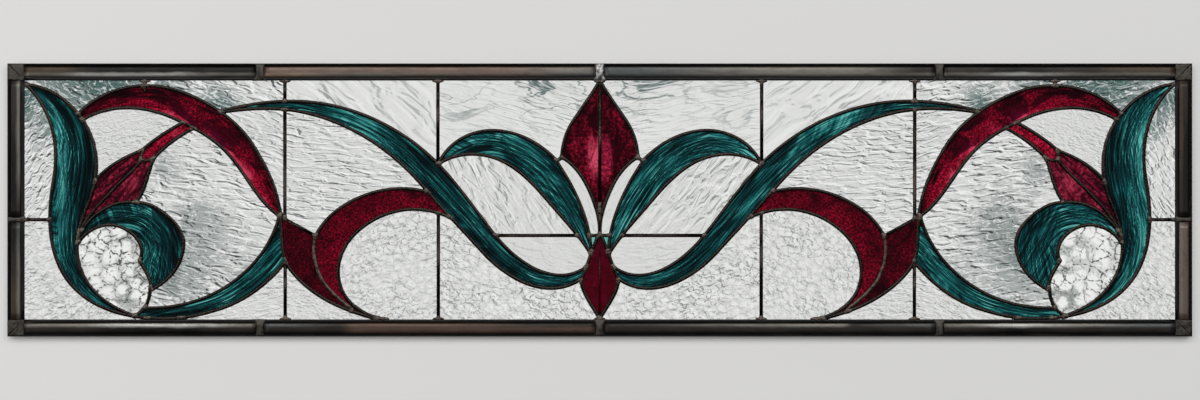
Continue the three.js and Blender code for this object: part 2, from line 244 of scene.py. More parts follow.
def new_object(name: str, bm: bmesh.types.BMesh, materials: list[bpy.types.Material]) -> bpy.types.Object:
    """Turns a finished bmesh into an object at the origin.

    Args:
        name: the piece's name.
        bm: its mesh, in metres. It is freed.
        materials: its material slots, in order.

    Returns:
        The new object.
    """
    mesh = bpy.data.meshes.new(name)
    bm.to_mesh(mesh)
    bm.free()
    piece = bpy.data.objects.new(name, mesh)
    for material in materials:
        mesh.materials.append(material)
    bpy.context.scene.collection.objects.link(piece)
    return piece


def side_vectors(points: np.ndarray) -> tuple[np.ndarray, np.ndarray]:
    """Finds the side direction and the mitre stretch at each point of a line.

    Args:
        points: x, z points along the line.

    Returns:
        Unit vectors to the left of travel, and how much to stretch them.
    """
    steps = np.diff(points, axis=0)
    steps /= np.linalg.norm(steps, axis=1)[:, None]
    before = np.vstack([steps[:1], steps])
    after = np.vstack([steps, steps[-1:]])
    heading = before + after
    heading /= np.linalg.norm(heading, axis=1)[:, None]
    stretch = 1 / np.clip((heading * after).sum(axis=1), 0.5, 1)
    return np.column_stack([-heading[:, 1], heading[:, 0]]), stretch


def loft(bm: bmesh.types.BMesh, rings: list[list[Vector]], material: int = 0) -> None:
    """Draws a closed section through a run of rings and caps both ends.

    The tube is made on its own, because operators slow down as a mesh grows.

    Args:
        bm: mesh to add to.
        rings: the section's corners at each station, in metres.
        material: material slot of the new faces.
    """
    tube = bmesh.new()
    across, along = len(rings[0]), len(rings) - 1
    made = bmesh.ops.create_grid(tube, x_segments=along, y_segments=across, size=1)["verts"]
    for vert in made:
        i = round((vert.co.x + 1) / 2 * along)
        j = round((vert.co.y + 1) / 2 * across)
        vert.co = rings[i][j % across]
    bmesh.ops.remove_doubles(tube, verts=tube.verts, dist=1e-7)
    bmesh.ops.holes_fill(tube, edges=[e for e in tube.edges if e.is_boundary], sides=0)
    for face in tube.faces:
        face.material_index = material
        face.smooth = len(face.verts) == 4
    bmesh.ops.recalc_face_normals(tube, faces=tube.faces)
    merge_into(bm, tube)


def merge_into(bm: bmesh.types.BMesh, part: bmesh.types.BMesh) -> None:
    """Adds a finished part to a mesh and frees it."""
    carrier = bpy.data.meshes.new("carrier")
    part.to_mesh(carrier)
    part.free()
    bm.from_mesh(carrier)
    bpy.data.meshes.remove(carrier)


def sweep(
    bm: bmesh.types.BMesh,
    points: np.ndarray,
    section: list[Point],
    material: int = 0,
    widths: np.ndarray | None = None,
    lifts: np.ndarray | None = None,
) -> None:
    """Sweeps a closed section along a line in the panel's plane and caps both ends.

    Args:
        bm: mesh to add to.
        points: x, z points along the line, in mm.
        section: (across, depth) corners in mm.
        material: material slot of the new faces.
        widths: width scale of the section at each point.
        lifts: depth scale of the section at each point.
    """
    sides, stretch = side_vectors(points)
    widths = np.ones(len(points)) if widths is None else widths
    lifts = np.ones(len(points)) if lifts is None else lifts
    rings = []
    for point, side, mitre, width, lift in zip(points, sides, stretch, widths, lifts):
        ring = []
        for across, depth in section:
            shift = side * across * mitre * width
            ring.append(Vector((point[0] + shift[0], depth * lift, point[1] + shift[1])) * MM)
        rings.append(ring)
    loft(bm, rings, material)


def domed_section(half_width: float, half_depth: float, shoulder: float, steps: int = 5) -> list[Point]:
    """Outlines a came section with a domed leaf front and back.

    Args:
        half_width: half the face width.
        half_depth: depth at the crown of the dome.
        shoulder: depth at the edge of the leaf.
        steps: facets over each dome.

    Returns:
        (across, depth) corners.
    """
    front = []
    for i in range(steps + 1):
        angle = math.pi * i / steps
        across = half_width * math.cos(angle)
        depth = shoulder + (half_depth - shoulder) * math.sin(angle) ** 0.7
        front.append((across, -depth))
    return front + [(a, -d) for a, d in reversed(front)]


# --------------------------------------------------------------------------------------
# Shader graphs
# --------------------------------------------------------------------------------------

Socket = bpy.types.NodeSocket
Colour = tuple[float, float, float]


def linear(red: float, green: float, blue: float) -> Colour:
    """Turns display values from 0 to 255 into linear light."""
    out = []
    for value in (red, green, blue):
        v = value / 255
        out.append(v / 12.92 if v <= 0.04045 else ((v + 0.055) / 1.055) ** 2.4)
    return (out[0], out[1], out[2])


class Graph:
    """A thin builder over one node tree."""

    def __init__(self, tree: bpy.types.NodeTree) -> None:
        """Keeps the tree that nodes are added to."""
        self.tree = tree

    def add(self, kind: str, inputs: dict | None = None, **props: object) -> bpy.types.Node:
        """Adds a node.

        Args:
            kind: the node's type name.
            inputs: plain values or sockets by input name or index.
            **props: properties set on the node first.

        Returns:
            The node.
        """
        node = self.tree.nodes.new(kind)
        for key, value in props.items():
            setattr(node, key, value)
        for key, value in (inputs or {}).items():
            self.feed(node.inputs[key], value)
        return node

    def feed(self, socket: Socket, value: object) -> None:
        """Links a socket, or sets a plain value, on an input."""
        if isinstance(value, bpy.types.NodeSocket):
            self.tree.links.new(value, socket)
        else:
            socket.default_value = value

    def math(self, operation: str, a: object, b: object = 0.0, clamp: bool = False) -> Socket:
        """Adds a maths node and returns its output."""
        return self.add("ShaderNodeMath", {0: a, 1: b}, operation=operation, use_clamp=clamp).outputs[0]

    def times(self, a: object, b: object, clamp: bool = False) -> Socket:
        """Multiplies two values."""
        return self.math("MULTIPLY", a, b, clamp)

    def plus(self, a: object, b: object, clamp: bool = False) -> Socket:
        """Adds two values."""
        return self.math("ADD", a, b, clamp)

    def minus(self, a: object, b: object, clamp: bool = False) -> Socket:
        """Subtracts the second value from the first."""
        return self.math("SUBTRACT", a, b, clamp)

    def vector(self, operation: str, a: object, b: object) -> Socket:
        """Adds a vector maths node and returns its output."""
        return self.add("ShaderNodeVectorMath", {0: a, 1: b}, operation=operation).outputs[0]

    def scaled(self, vector: object, *factors: object) -> Socket:
        """Multiplies a vector's X and Y by two factors and flattens it."""
        flat = (*factors, 0.0)
        if any(isinstance(factor, bpy.types.NodeSocket) for factor in factors):
            flat = self.add("ShaderNodeCombineXYZ", {"X": factors[0], "Y": factors[1]}).outputs[0]
        return self.vector("MULTIPLY", vector, flat)

    def stirred(self, vector: Socket, scale: float, reach: object) -> Socket:
        """Shifts a flat vector by a soft noise of the given scale and reach in metres."""
        drift = self.add("ShaderNodeTexNoise", {"Vector": vector, "Scale": scale, "Detail": 1.0}, noise_dimensions="2D")
        centred = self.vector("SUBTRACT", drift.outputs["Color"], (0.5, 0.5, 0.5))
        return self.vector("ADD", vector, self.scaled(centred, reach, reach))

    def noise(
        self, vector: Socket, scale: object, detail: float = 2.0, rough: float = 0.5, warp: float = 0.0
    ) -> Socket:
        """Adds a flat noise texture over a vector's X and Y and returns its value."""
        node = self.add(
            "ShaderNodeTexNoise",
            {"Vector": vector, "Scale": scale, "Detail": detail, "Roughness": rough, "Distortion": warp},
            noise_dimensions="2D",
        )
        return node.outputs["Fac"]

    def laid(self, vector: object) -> Socket:
        """Lays a place on the panel's face flat: its X and Z become X and Y."""
        parts = self.add("ShaderNodeSeparateXYZ", {0: vector}).outputs
        return self.add("ShaderNodeCombineXYZ", {"X": parts["X"], "Y": parts["Z"]}).outputs[0]

    def span(self, value: object, low: float, high: float, to_low: float = 0.0, to_high: float = 1.0) -> Socket:
        """Maps a range smoothly onto another, clamped."""
        node = self.add(
            "ShaderNodeMapRange",
            {"Value": value, "From Min": low, "From Max": high, "To Min": to_low, "To Max": to_high},
            interpolation_type="SMOOTHSTEP",
        )
        return node.outputs["Result"]

    def blend(self, share: object, a: object, b: object) -> Socket:
        """Mixes two colours by a share and returns the colour."""
        node = self.tree.nodes.new("ShaderNodeMix")
        node.data_type = "RGBA"
        for index, value in ((0, share), (6, a), (7, b)):
            if isinstance(value, tuple) and len(value) == 3:
                value = (*value, 1.0)
            self.feed(node.inputs[index], value)
        return node.outputs[2]

    def ramp(self, value: Socket, stops: tuple[tuple[float, Colour], ...]) -> Socket:
        """Adds a colour ramp and returns its colour."""
        node = self.add("ShaderNodeValToRGB", {"Fac": value})
        elements = node.color_ramp.elements
        while len(elements) < len(stops):
            elements.new(0.5)
        for element, (place, colour) in zip(elements, stops):
            element.position = place
            element.color = (*colour, 1.0)
        return node.outputs["Color"]


class Effects:
    """The shared shader effects, each made once as a node group."""

    def __init__(self) -> None:
        """Makes the groups."""
        self.ripples = self.make_ripples()
        self.grain = self.make_grain()
        self.streaks = self.make_streaks()
        self.patina = self.make_patina()

    @staticmethod
    def open_group(name: str, inputs: dict[str, float | None]) -> tuple:
        """Starts a group and its inputs.

        Args:
            name: the group's name.
            inputs: each input's default value, or None for a vector.

        Returns:
            The group, its graph and the group's input sockets.
        """
        group = bpy.data.node_groups.new(name, "ShaderNodeTree")
        for key, default in inputs.items():
            kind = "NodeSocketVector" if default is None else "NodeSocketFloat"
            socket = group.interface.new_socket(key, in_out="INPUT", socket_type=kind)
            if default is not None:
                socket.default_value = default
        return group, Graph(group), group.nodes.new("NodeGroupInput").outputs

    @staticmethod
    def close_group(group: bpy.types.NodeTree, outputs: dict[str, Socket]) -> bpy.types.NodeTree:
        """Gives a group its outputs, which are all masks or heights, and returns it."""
        for key in outputs:
            group.interface.new_socket(key, in_out="OUTPUT", socket_type="NodeSocketFloat")
        sink = group.nodes.new("NodeGroupOutput")
        for key, value in outputs.items():
            group.links.new(value, sink.inputs[key])
        return group

    def make_ripples(self) -> bpy.types.NodeTree:
        """Makes the group for ripples drawn out along one direction.

        Its slope is above a half where the glass leans one way, and below where it leans the other.
        """
        inputs = {"Vector": None, "Angle": 0.0, "Spacing": 0.005, "Stretch": 4.0, "Bend": 0.004}
        group, g, source = self.open_group("rippled_surface", inputs)
        bent = g.stirred(source["Vector"], 22.0, source["Bend"])
        turn = {"Vector": bent, "Angle": source["Angle"]}
        turned = g.add("ShaderNodeVectorRotate", turn, rotation_type="Z_AXIS").outputs[0]
        along = g.math("DIVIDE", 1.0, g.times(source["Spacing"], source["Stretch"]))
        place = g.scaled(turned, along, g.math("DIVIDE", 1.0, source["Spacing"]))
        nearby = g.vector("ADD", place, (0.08, 0.17, 0.0))
        here, there = (g.noise(spot, 0.8, 3.5, 0.52, 0.6) for spot in (place, nearby))
        slope = g.plus(0.5, g.times(g.minus(there, here), 4.4), clamp=True)
        return self.close_group(group, {"Slope": slope, "Height": here})

    def make_grain(self) -> bpy.types.NodeTree:
        """Makes the group for the small dimples and pebbles of hammered and seedy glass."""
        group, g, source = self.open_group("hammered_surface", {"Vector": None, "Size": 0.002})
        flat = source["Vector"]
        scale = g.math("DIVIDE", 1.0, source["Size"])
        fine = g.noise(flat, scale, 2.0, 0.6, 0.2)
        cell = {"Vector": g.stirred(flat, 160.0, 0.006), "Scale": scale}
        rims, cells = (
            g.add("ShaderNodeTexVoronoi", cell, voronoi_dimensions="2D", feature=feature).outputs["Distance"]
            for feature in ("DISTANCE_TO_EDGE", "SMOOTH_F1")
        )
        broken = g.span(g.noise(flat, 420.0, 2.0, 0.5), 0.38, 0.56)
        masks = {
            "Dimples": g.span(fine, 0.5, 0.66),
            "Pits": g.span(fine, 0.46, 0.3),
            "Edges": g.times(g.span(rims, 0.09, 0.0), broken),
            "Lobes": g.span(cells, 0.1, 0.5, 1.0, 0.0),
        }
        return self.close_group(group, masks)

    def make_streaks(self) -> bpy.types.NodeTree:
        """Makes the group for colour strands drawn along a pane's flow."""
        group, g, source = self.open_group("streaky_colour", {"Flow": None, "Length": 2.4, "Width": 3.0})
        flow = source["Flow"]
        place = g.scaled(flow, source["Length"], source["Width"])
        masks = {
            "Broad": g.span(g.noise(g.scaled(flow, 1.3, 0.7), 1.0, 1.0, 0.5, 0.6), 0.34, 0.66),
            "Strand": g.span(g.noise(place, 1.0, 2.5, 0.55, 0.55), 0.36, 0.64),
            "Fine": g.span(g.noise(g.scaled(place, 1.7, 2.4), 1.0, 3.0, 0.6, 0.8), 0.36, 0.66),
        }
        return self.close_group(group, masks)

    def make_patina(self) -> bpy.types.NodeTree:
        """Makes the group for the uneven brown and black of chemically darkened metal."""
        group, g, source = self.open_group("dark_patina", {"Vector": None})
        flat = g.laid(source["Vector"])
        masks = {
            "Cloud": g.span(g.noise(flat, 45.0, 3.0, 0.6, 0.4), 0.35, 0.68),
            "Speck": g.span(g.noise(flat, 700.0, 2.0, 0.6, 0.0), 0.4, 0.7),
        }
        return self.close_group(group, masks)


@dataclass
class Finish:
    """Common start of every material: a Principled shader and object coordinates."""

    effects: Effects

    def start(self, name: str, **plain: object) -> tuple[bpy.types.Material, Graph, bpy.types.Node, Socket]:
        """Starts a material.

        Args:
            name: the material's name.
            **plain: values for the shader's own sockets, with underscores for spaces.

        Returns:
            The material, its graph, the shader node and the object coordinate socket.
        """
        material = bpy.data.materials.new(name)
        material.use_nodes = True
        graph = Graph(material.node_tree)
        shader = material.node_tree.nodes["Principled BSDF"]
        for key, value in plain.items():
            shader.inputs[key.replace("_", " ")].default_value = value
        coordinates = graph.add("ShaderNodeTexCoord")
        return material, graph, shader, coordinates.outputs["Object"]

    @staticmethod
    def effect(graph: Graph, group: bpy.types.NodeTree, **inputs: object) -> bpy.types.bpy_prop_collection:
        """Adds one of the shared effects to a graph and returns its outputs."""
        return graph.add("ShaderNodeGroup", inputs, node_tree=group).outputs

    @staticmethod
    def mark(graph: Graph, name: str, output: str = "Fac") -> Socket:
        """Reads one of the marks that a piece carries on its points."""
        return graph.add("ShaderNodeAttribute", attribute_name=name).outputs[output]

    @staticmethod
    def bump(graph: Graph, shader: bpy.types.Node, height: Socket, strength: float, distance: float) -> None:
        """Links a bump to the shader's normal."""
        node = graph.add("ShaderNodeBump", {"Height": height, "Strength": strength, "Distance": distance})
        graph.feed(shader.inputs["Normal"], node.outputs["Normal"])


GLASS_PLAIN = {"Transmission_Weight": 1.0, "IOR": 1.4, "Metallic": 0.0, "Roughness": 0.05, "Specular_IOR_Level": 0.1}


@dataclass(frozen=True)
class ClearLook:
    """How one run of clear glass is textured.

    Angle is the ripples' direction in degrees from +X, spacing and the sizes are in mm, and
    the strengths run from 0 to 1. Lines paints highlights and shade on the ripples' flanks,
    the second strength paints dark shade lines on their steepest flanks, grain paints shade in
    dimples and glints in pits, and pebbles paints highlights on pebbles and shade round their
    rims. Stain is the grey-green cast in patches, and veins are the thin dark lines in it. The
    flank colour is the painted shade on the ripples' flanks.
    """

    angle: float = -6.0
    spacing: float = 3.6
    stretch: float = 3.0
    lines: float = 0.7
    steep_flank_lines: float = 0.3
    grain: float = 0.2
    grain_size: float = 2.2
    pebbles: float = 0.0
    pebble_size: float = 6.5
    stain: float = 0.0
    stain_colour: Colour = linear(108, 126, 126)
    veins: float = 0.0
    body: Colour = linear(219, 220, 218)
    flank_shade: Colour = linear(172, 175, 174)
    bend: float = 4.0


@dataclass
class ClearGlass(Finish):
    """Clear rolled glass: painted highlights and shade on the flanks of its ripples, painted shade in its dimples,
    painted glints in its pits, painted highlights and rim shade on its pebbles, and grey-green casts.
    """

    # Colours of the painted light: highlight and shade on the ripples' flanks, dark shade lines on the steepest flanks,
    # pebble highlights and rim shade, shade in dimples and glints in pits. Vein is the stain's line colour.
    flank_highlight: Colour = linear(248, 249, 248)
    shadow: Colour = linear(104, 108, 107)
    steep_flank_shade: Colour = linear(36, 46, 45)
    vein: Colour = linear(52, 84, 82)
    pebble_highlight: Colour = linear(242, 243, 241)
    pebble_rim_shade: Colour = linear(76, 78, 75)
    dimple: Colour = linear(160, 162, 160)
    glint: Colour = linear(250, 250, 249)

    def build(self, name: str, look: ClearLook, mirror: Side) -> bpy.types.Material:
        """Builds the material.

        Args:
            name: the material's name.
            look: its texture.
            mirror: the half of the panel, which turns the ripples the other way.

        Returns:
            The material.
        """
        material, g, shader, panel = self.start(name, **GLASS_PLAIN)
        place = g.laid(panel)
        ripples = self.effect(
            g,
            self.effects.ripples,
            Vector=place,
            Angle=-math.radians(look.angle) * mirror.value,
            Spacing=look.spacing * MM,
            Stretch=look.stretch,
            Bend=look.bend * MM,
        )
        tone = self.mark(g, "tone")
        # The tone mark and a patchy noise set how strongly the painted ripple light and shade show.
        patchy = g.span(g.noise(place, 26.0, 2.0, 0.6, 0.3), 0.34, 0.62, 0.35, 1.0)
        strength = g.times(tone, patchy)
        slope = ripples["Slope"]
        shade: object = look.body
        marked: object = 0.0
        if look.stain > 0:
            cloud = g.noise(g.scaled(place, 1.0, 1.9), 150.0, 3.0, 0.6, 0.9)
            cast = self.mark(g, "stain")
            patch = g.span(g.plus(cloud, g.times(cast, 0.26)), 0.56, 0.64)
            marked = g.times(patch, g.times(cast, look.stain), clamp=True)
            shade = g.blend(marked, shade, look.stain_colour)
            if look.veins > 0:
                run = g.noise(g.scaled(place, 1.0, 3.4), 17.0, 3.0, 0.55, 0.5)
                line = g.span(g.math("ABSOLUTE", g.minus(run, 0.5)), 0.03, 0.008)
                shade = g.blend(g.times(line, g.times(cast, look.veins)), shade, self.vein)
        if look.pebbles > 0:
            stones = self.effect(g, self.effects.grain, Vector=place, Size=look.pebble_size * MM)
            # Painted highlights on the pebbles' middles and painted shade round their rims.
            lobes = g.times(stones["Lobes"], g.times(tone, look.pebbles * 0.8))
            shade = g.blend(lobes, shade, self.pebble_highlight)
            edges = g.times(stones["Edges"], g.times(strength, look.pebbles), clamp=True)
            shade = g.blend(edges, shade, self.pebble_rim_shade)
        # Painted light and shade: by the ripples' slope one flank is shaded and the other lit pale, both fading where
        # stain lies.
        calm = g.minus(1.0, g.times(marked, 0.6))
        soft = g.times(g.span(slope, 0.5, 0.2), g.times(strength, look.lines * 0.75), clamp=True)
        pale = g.times(g.span(slope, 0.58, 0.86), g.times(tone, look.lines * 0.9), clamp=True)
        shade = g.blend(g.times(soft, calm), shade, look.flank_shade)
        shade = g.blend(g.times(pale, calm), shade, self.flank_highlight)
        dark = g.times(g.span(slope, 0.27, 0.1), g.times(strength, look.lines), clamp=True)
        shade = g.blend(g.times(dark, calm), shade, self.shadow)
        # Painted shade: the steepest ripple flanks get dark lines, stronger where stain lies.
        deep = g.plus(g.times(strength, look.steep_flank_lines), g.times(marked, 0.6))
        steep_flank_mask = g.times(g.span(slope, 0.16, 0.02), deep, clamp=True)
        shade = g.blend(steep_flank_mask, shade, self.steep_flank_shade)
        grain = self.effect(g, self.effects.grain, Vector=place, Size=look.grain_size * MM)
        # Painted shade in the dimples and painted glints in the pits.
        shade = g.blend(g.times(grain["Dimples"], look.grain), shade, self.dimple)
        shade = g.blend(g.times(grain["Pits"], look.grain), shade, self.glint)
        g.feed(shader.inputs["Base Color"], shade)
        self.bump(g, shader, ripples["Height"], 0.3, look.spacing * 0.1 * MM)
        return material


@dataclass
class TealGlass(Finish):
    """Streaky teal glass whose colour runs along each pane's flow."""

    depths: tuple[tuple[float, Colour], ...] = (
        (0.0, linear(2, 9, 11)),
        (0.3, linear(4, 36, 40)),
        (0.55, linear(10, 74, 78)),
        (0.8, linear(32, 122, 117)),
        (1.0, linear(104, 182, 174)),
    )

    def build(self) -> bpy.types.Material:
        """Builds the material."""
        material, g, shader, place = self.start("teal_streaky_glass", **GLASS_PLAIN)
        flow = self.mark(g, "flow", "Vector")
        tone = self.mark(g, "tone")
        streaks = self.effect(g, self.effects.streaks, Flow=flow, Length=1.7, Width=7.0)
        wave = g.times(g.minus(streaks["Broad"], 0.5), 0.24)
        strand = g.times(g.minus(streaks["Strand"], 0.5), 0.8)
        fine = g.times(g.minus(streaks["Fine"], 0.5), 0.6)
        level = g.plus(tone, g.plus(wave, g.plus(strand, fine)), clamp=True)
        g.feed(shader.inputs["Base Color"], g.ramp(level, self.depths))
        height = g.plus(streaks["Strand"], g.times(streaks["Fine"], 0.4))
        self.bump(g, shader, height, 0.2, 0.0002)
        return material


@dataclass(frozen=True)
class RubyLook:
    """How one run of ruby glass is coloured: its dark, body and spark colours, and dimple size in mm."""

    # Spark and sparkle paint highlights on the dimples, dark also paints shade in their hollows, and glow is the colour
    # of a painted glow.
    dark: Colour = linear(26, 0, 5)
    body: Colour = linear(118, 2, 30)
    spark: Colour = linear(196, 26, 58)
    size: float = 2.0
    sparkle: float = 0.6
    swing: float = 0.9
    streak: float = 0.0
    glow: Colour = linear(228, 84, 112)
    cloud: float = 60.0
    drawn: float = 1.0
    veins: float = 0.0


@dataclass
class RubyGlass(Finish):
    """Hammered ruby glass, running from dark to body by its tone and a random cloud, with painted sparkles on the
    dimples, painted shade in their hollows and a painted glow.
    """

    def build(self, name: str, look: RubyLook) -> bpy.types.Material:
        """Builds the material for one look."""
        material, g, shader, place = self.start(name, **GLASS_PLAIN)
        flat = g.laid(place)
        # The tone mark paints broad light and shade over the pane; with a random cloud it sets how far the colour runs
        # from dark to body.
        tone = self.mark(g, "tone")
        cloud = g.noise(g.scaled(flat, 1.0, 1.0 / look.drawn), look.cloud, 3.0, 0.55, 0.8)
        level = g.plus(tone, g.times(g.minus(cloud, 0.5), look.swing))
        if look.streak > 0:
            flow = self.mark(g, "flow", "Vector")
            streaks = self.effect(g, self.effects.streaks, Flow=flow, Length=3.5, Width=3.6)
            strand = g.times(g.minus(streaks["Strand"], 0.5), look.streak)
            level = g.plus(level, strand)
        level = g.math("MAXIMUM", level, 0.0, clamp=True)
        dots = g.noise(flat, 1.0 / (look.size * MM), 2.0, 0.6, 0.4)
        shade = g.blend(level, look.dark, look.body)
        # Painted sparkle: highlights on the dimples' crests.
        spark = g.times(g.span(dots, 0.53, 0.62), g.times(level, look.sparkle), clamp=True)
        shade = g.blend(spark, shade, look.spark)
        # Painted shade in the dimples' hollows.
        pits = g.times(g.span(dots, 0.47, 0.36), 0.85)
        shade = g.blend(pits, shade, look.dark)
        # A painted glow where tone and cloud run highest.
        bright = g.times(g.span(g.plus(tone, g.times(cloud, 0.9)), 1.1, 1.65), 0.9)
        shade = g.blend(bright, shade, look.glow)
        if look.veins > 0:
            run = g.noise(g.scaled(flat, 1.0, 0.4), look.cloud * 1.6, 2.0, 0.6, 1.2)
            vein = g.span(g.math("ABSOLUTE", g.minus(run, 0.5)), 0.035, 0.005)
            shade = g.blend(g.times(vein, look.veins), shade, look.dark)
        g.feed(shader.inputs["Base Color"], shade)
        self.bump(g, shader, dots, 0.35, 0.0003)
        return material


@dataclass
class CameMetal(Finish):
    """Black-patinated came, clouded with brown."""

    deep: Colour = linear(12, 11, 10)
    brown: Colour = linear(33, 28, 25)
    fleck: Colour = linear(86, 74, 64)

    def build(self) -> bpy.types.Material:
        """Builds the material."""
        material, g, shader, place = self.start("inner_came_patina", Metallic=0.85)
        patina = self.effect(g, self.effects.patina, Vector=place)
        shade = g.blend(patina["Cloud"], self.deep, self.brown)
        shade = g.blend(g.times(patina["Speck"], 0.3), shade, self.fleck)
        g.feed(shader.inputs["Base Color"], shade)
        g.feed(shader.inputs["Roughness"], g.span(patina["Cloud"], 0.0, 1.0, 0.22, 0.36))
        self.bump(g, shader, patina["Speck"], 0.2, 0.0001)
        return material


@dataclass
class SolderMetal(Finish):
    """Tinned solder, dulled by the same patina."""

    def build(self, name: str, low: Colour, high: Colour, rough: float) -> bpy.types.Material:
        """Builds the material from its darker and lighter colours."""
        material, g, shader, place = self.start(name, Metallic=0.8)
        patina = self.effect(g, self.effects.patina, Vector=place)
        cloud = g.noise(g.laid(place), 260.0, 3.0, 0.6, 0.5)
        shade = g.blend(g.span(cloud, 0.38, 0.62), low, high)
        shade = g.blend(g.times(patina["Speck"], 0.35), shade, low)
        g.feed(shader.inputs["Base Color"], shade)
        g.feed(shader.inputs["Roughness"], g.span(cloud, 0.3, 0.7, rough - 0.08, rough + 0.12))
        self.bump(g, shader, cloud, 0.15, 0.0003)
        return material


class Tone(Enum):
    """The border's patina tones and the tones of its painted highlight band, as display values."""

    BLACK = (15, 14, 14)
    SOOT = (38, 34, 31)
    BRONZE = (62, 52, 41)
    UMBER = (80, 64, 54)
    TAUPE = (98, 84, 75)
    SLATE = (72, 75, 75)
    STEEL = (104, 100, 94)
    TAN = (138, 118, 102)
    PEWTER = (165, 165, 160)

    @property
    def colour(self) -> Colour:
        """The tone in linear light."""
        return linear(*self.value)


# One place along a length of border, in mm, with the tone of its face and of the highlight band painted along it.
BarKey = tuple[float, Tone, Tone]


@dataclass
class BarMetal(Finish):
    """Drawn border came: long streaks of patina, with a highlight band painted paler along the raised face."""

    scratch: Colour = linear(24, 22, 21)
    smoke: Colour = linear(48, 42, 37)

    def build(self, name: str, keys: list[BarKey]) -> bpy.types.Material:
        """Builds the material, whose tones change smoothly from key to key."""
        material, g, shader, place = self.start(name, Metallic=0.55, Specular_IOR_Level=0.3)
        run = self.mark(g, "bar", "Vector")
        parts = g.add("ShaderNodeSeparateXYZ", {0: run}).outputs
        sway = g.noise(g.scaled(run, 4.0, 2.0), 1.0, 2.0, 0.5, 0.3)
        across = g.plus(parts["Y"], g.times(g.minus(sway, 0.5), 0.12))
        # Painted highlight: a band along the inner part of the raised face takes each key's second tone.
        sheen_band = g.times(g.span(across, 0.46, 0.68), g.span(across, 0.86, 0.73))
        face, sheen = keys[0][1].colour, keys[0][2].colour
        for before, (here, next_face, next_sheen) in zip(keys, keys[1:]):
            share = g.span(parts["X"], before[0] / MARK_UNIT, here / MARK_UNIT)
            face, sheen = g.blend(share, face, next_face.colour), g.blend(share, sheen, next_sheen.colour)
        shade = g.blend(sheen_band, face, sheen)
        fine = g.noise(g.scaled(run, 14.0, 26.0), 1.0, 3.0, 0.65, 0.2)
        cloud = g.noise(g.scaled(run, 3.0, 3.0), 1.0, 3.0, 0.6, 0.5)
        patina = self.effect(g, self.effects.patina, Vector=place)
        shade = g.blend(g.times(g.span(fine, 0.52, 0.75), 0.3), shade, self.scratch)
        shade = g.blend(g.times(g.span(cloud, 0.5, 0.7), 0.3), shade, self.smoke)
        g.feed(shader.inputs["Base Color"], shade)
        g.feed(shader.inputs["Roughness"], g.span(patina["Cloud"], 0.0, 1.0, 0.36, 0.48))
        self.bump(g, shader, fine, 0.15, 0.0001)
        return material


# --------------------------------------------------------------------------------------
# Leading up: ends, joints and pane outlines
# --------------------------------------------------------------------------------------


def crossing(a: np.ndarray, b: np.ndarray, c: np.ndarray, d: np.ndarray) -> float | None:
    """Finds where segment a-b meets segment c-d.

    Args:
        a, b, c, d: x, z points.

    Returns:
        The share of the way from a to b, or None where they miss.
    """
    r, s = b - a, d - c
    area = r[0] * s[1] - r[1] * s[0]
    if abs(area) < 1e-9:
        return None
    gap = c - a
    t = (gap[0] * s[1] - gap[1] * s[0]) / area
    u = (gap[0] * r[1] - gap[1] * r[0]) / area
    return t if -1e-6 <= t <= 1 + 1e-6 and -1e-6 <= u <= 1 + 1e-6 else None


def nearest(points: np.ndarray, spot: np.ndarray) -> tuple[float, np.ndarray, float]:
    """Finds the nearest place on a line.

    Args:
        points: the line.
        spot: the x, z place to measure from.

    Returns:
        The distance, the place, and how far along the line it is.
    """
    a, b = points[:-1], points[1:]
    span = b - a
    length2 = np.maximum((span**2).sum(axis=1), 1e-12)
    t = np.clip(((spot - a) * span).sum(axis=1) / length2, 0, 1)
    foot = a + span * t[:, None]
    gaps = np.linalg.norm(foot - spot, axis=1)
    k = int(np.argmin(gaps))
    along = np.concatenate([[0], np.cumsum(np.sqrt(length2))])
    return float(gaps[k]), foot[k], float(along[k] + t[k] * math.sqrt(length2[k]))


def clipped(points: np.ndarray, start: float, end: float) -> np.ndarray:
    """Returns the stretch of a line between two distances along it."""
    steps = np.linalg.norm(np.diff(points, axis=0), axis=1)
    along = np.concatenate([[0], np.cumsum(steps)])
    start, end = max(0.0, start), min(float(along[-1]), end)
    inner = [p for p, s in zip(points, along) if start + 0.05 < s < end - 0.05]
    ends = [np.array([np.interp(s, along, points[:, k]) for k in (0, 1)]) for s in (start, end)]
    return np.array([ends[0], *inner, ends[1]])


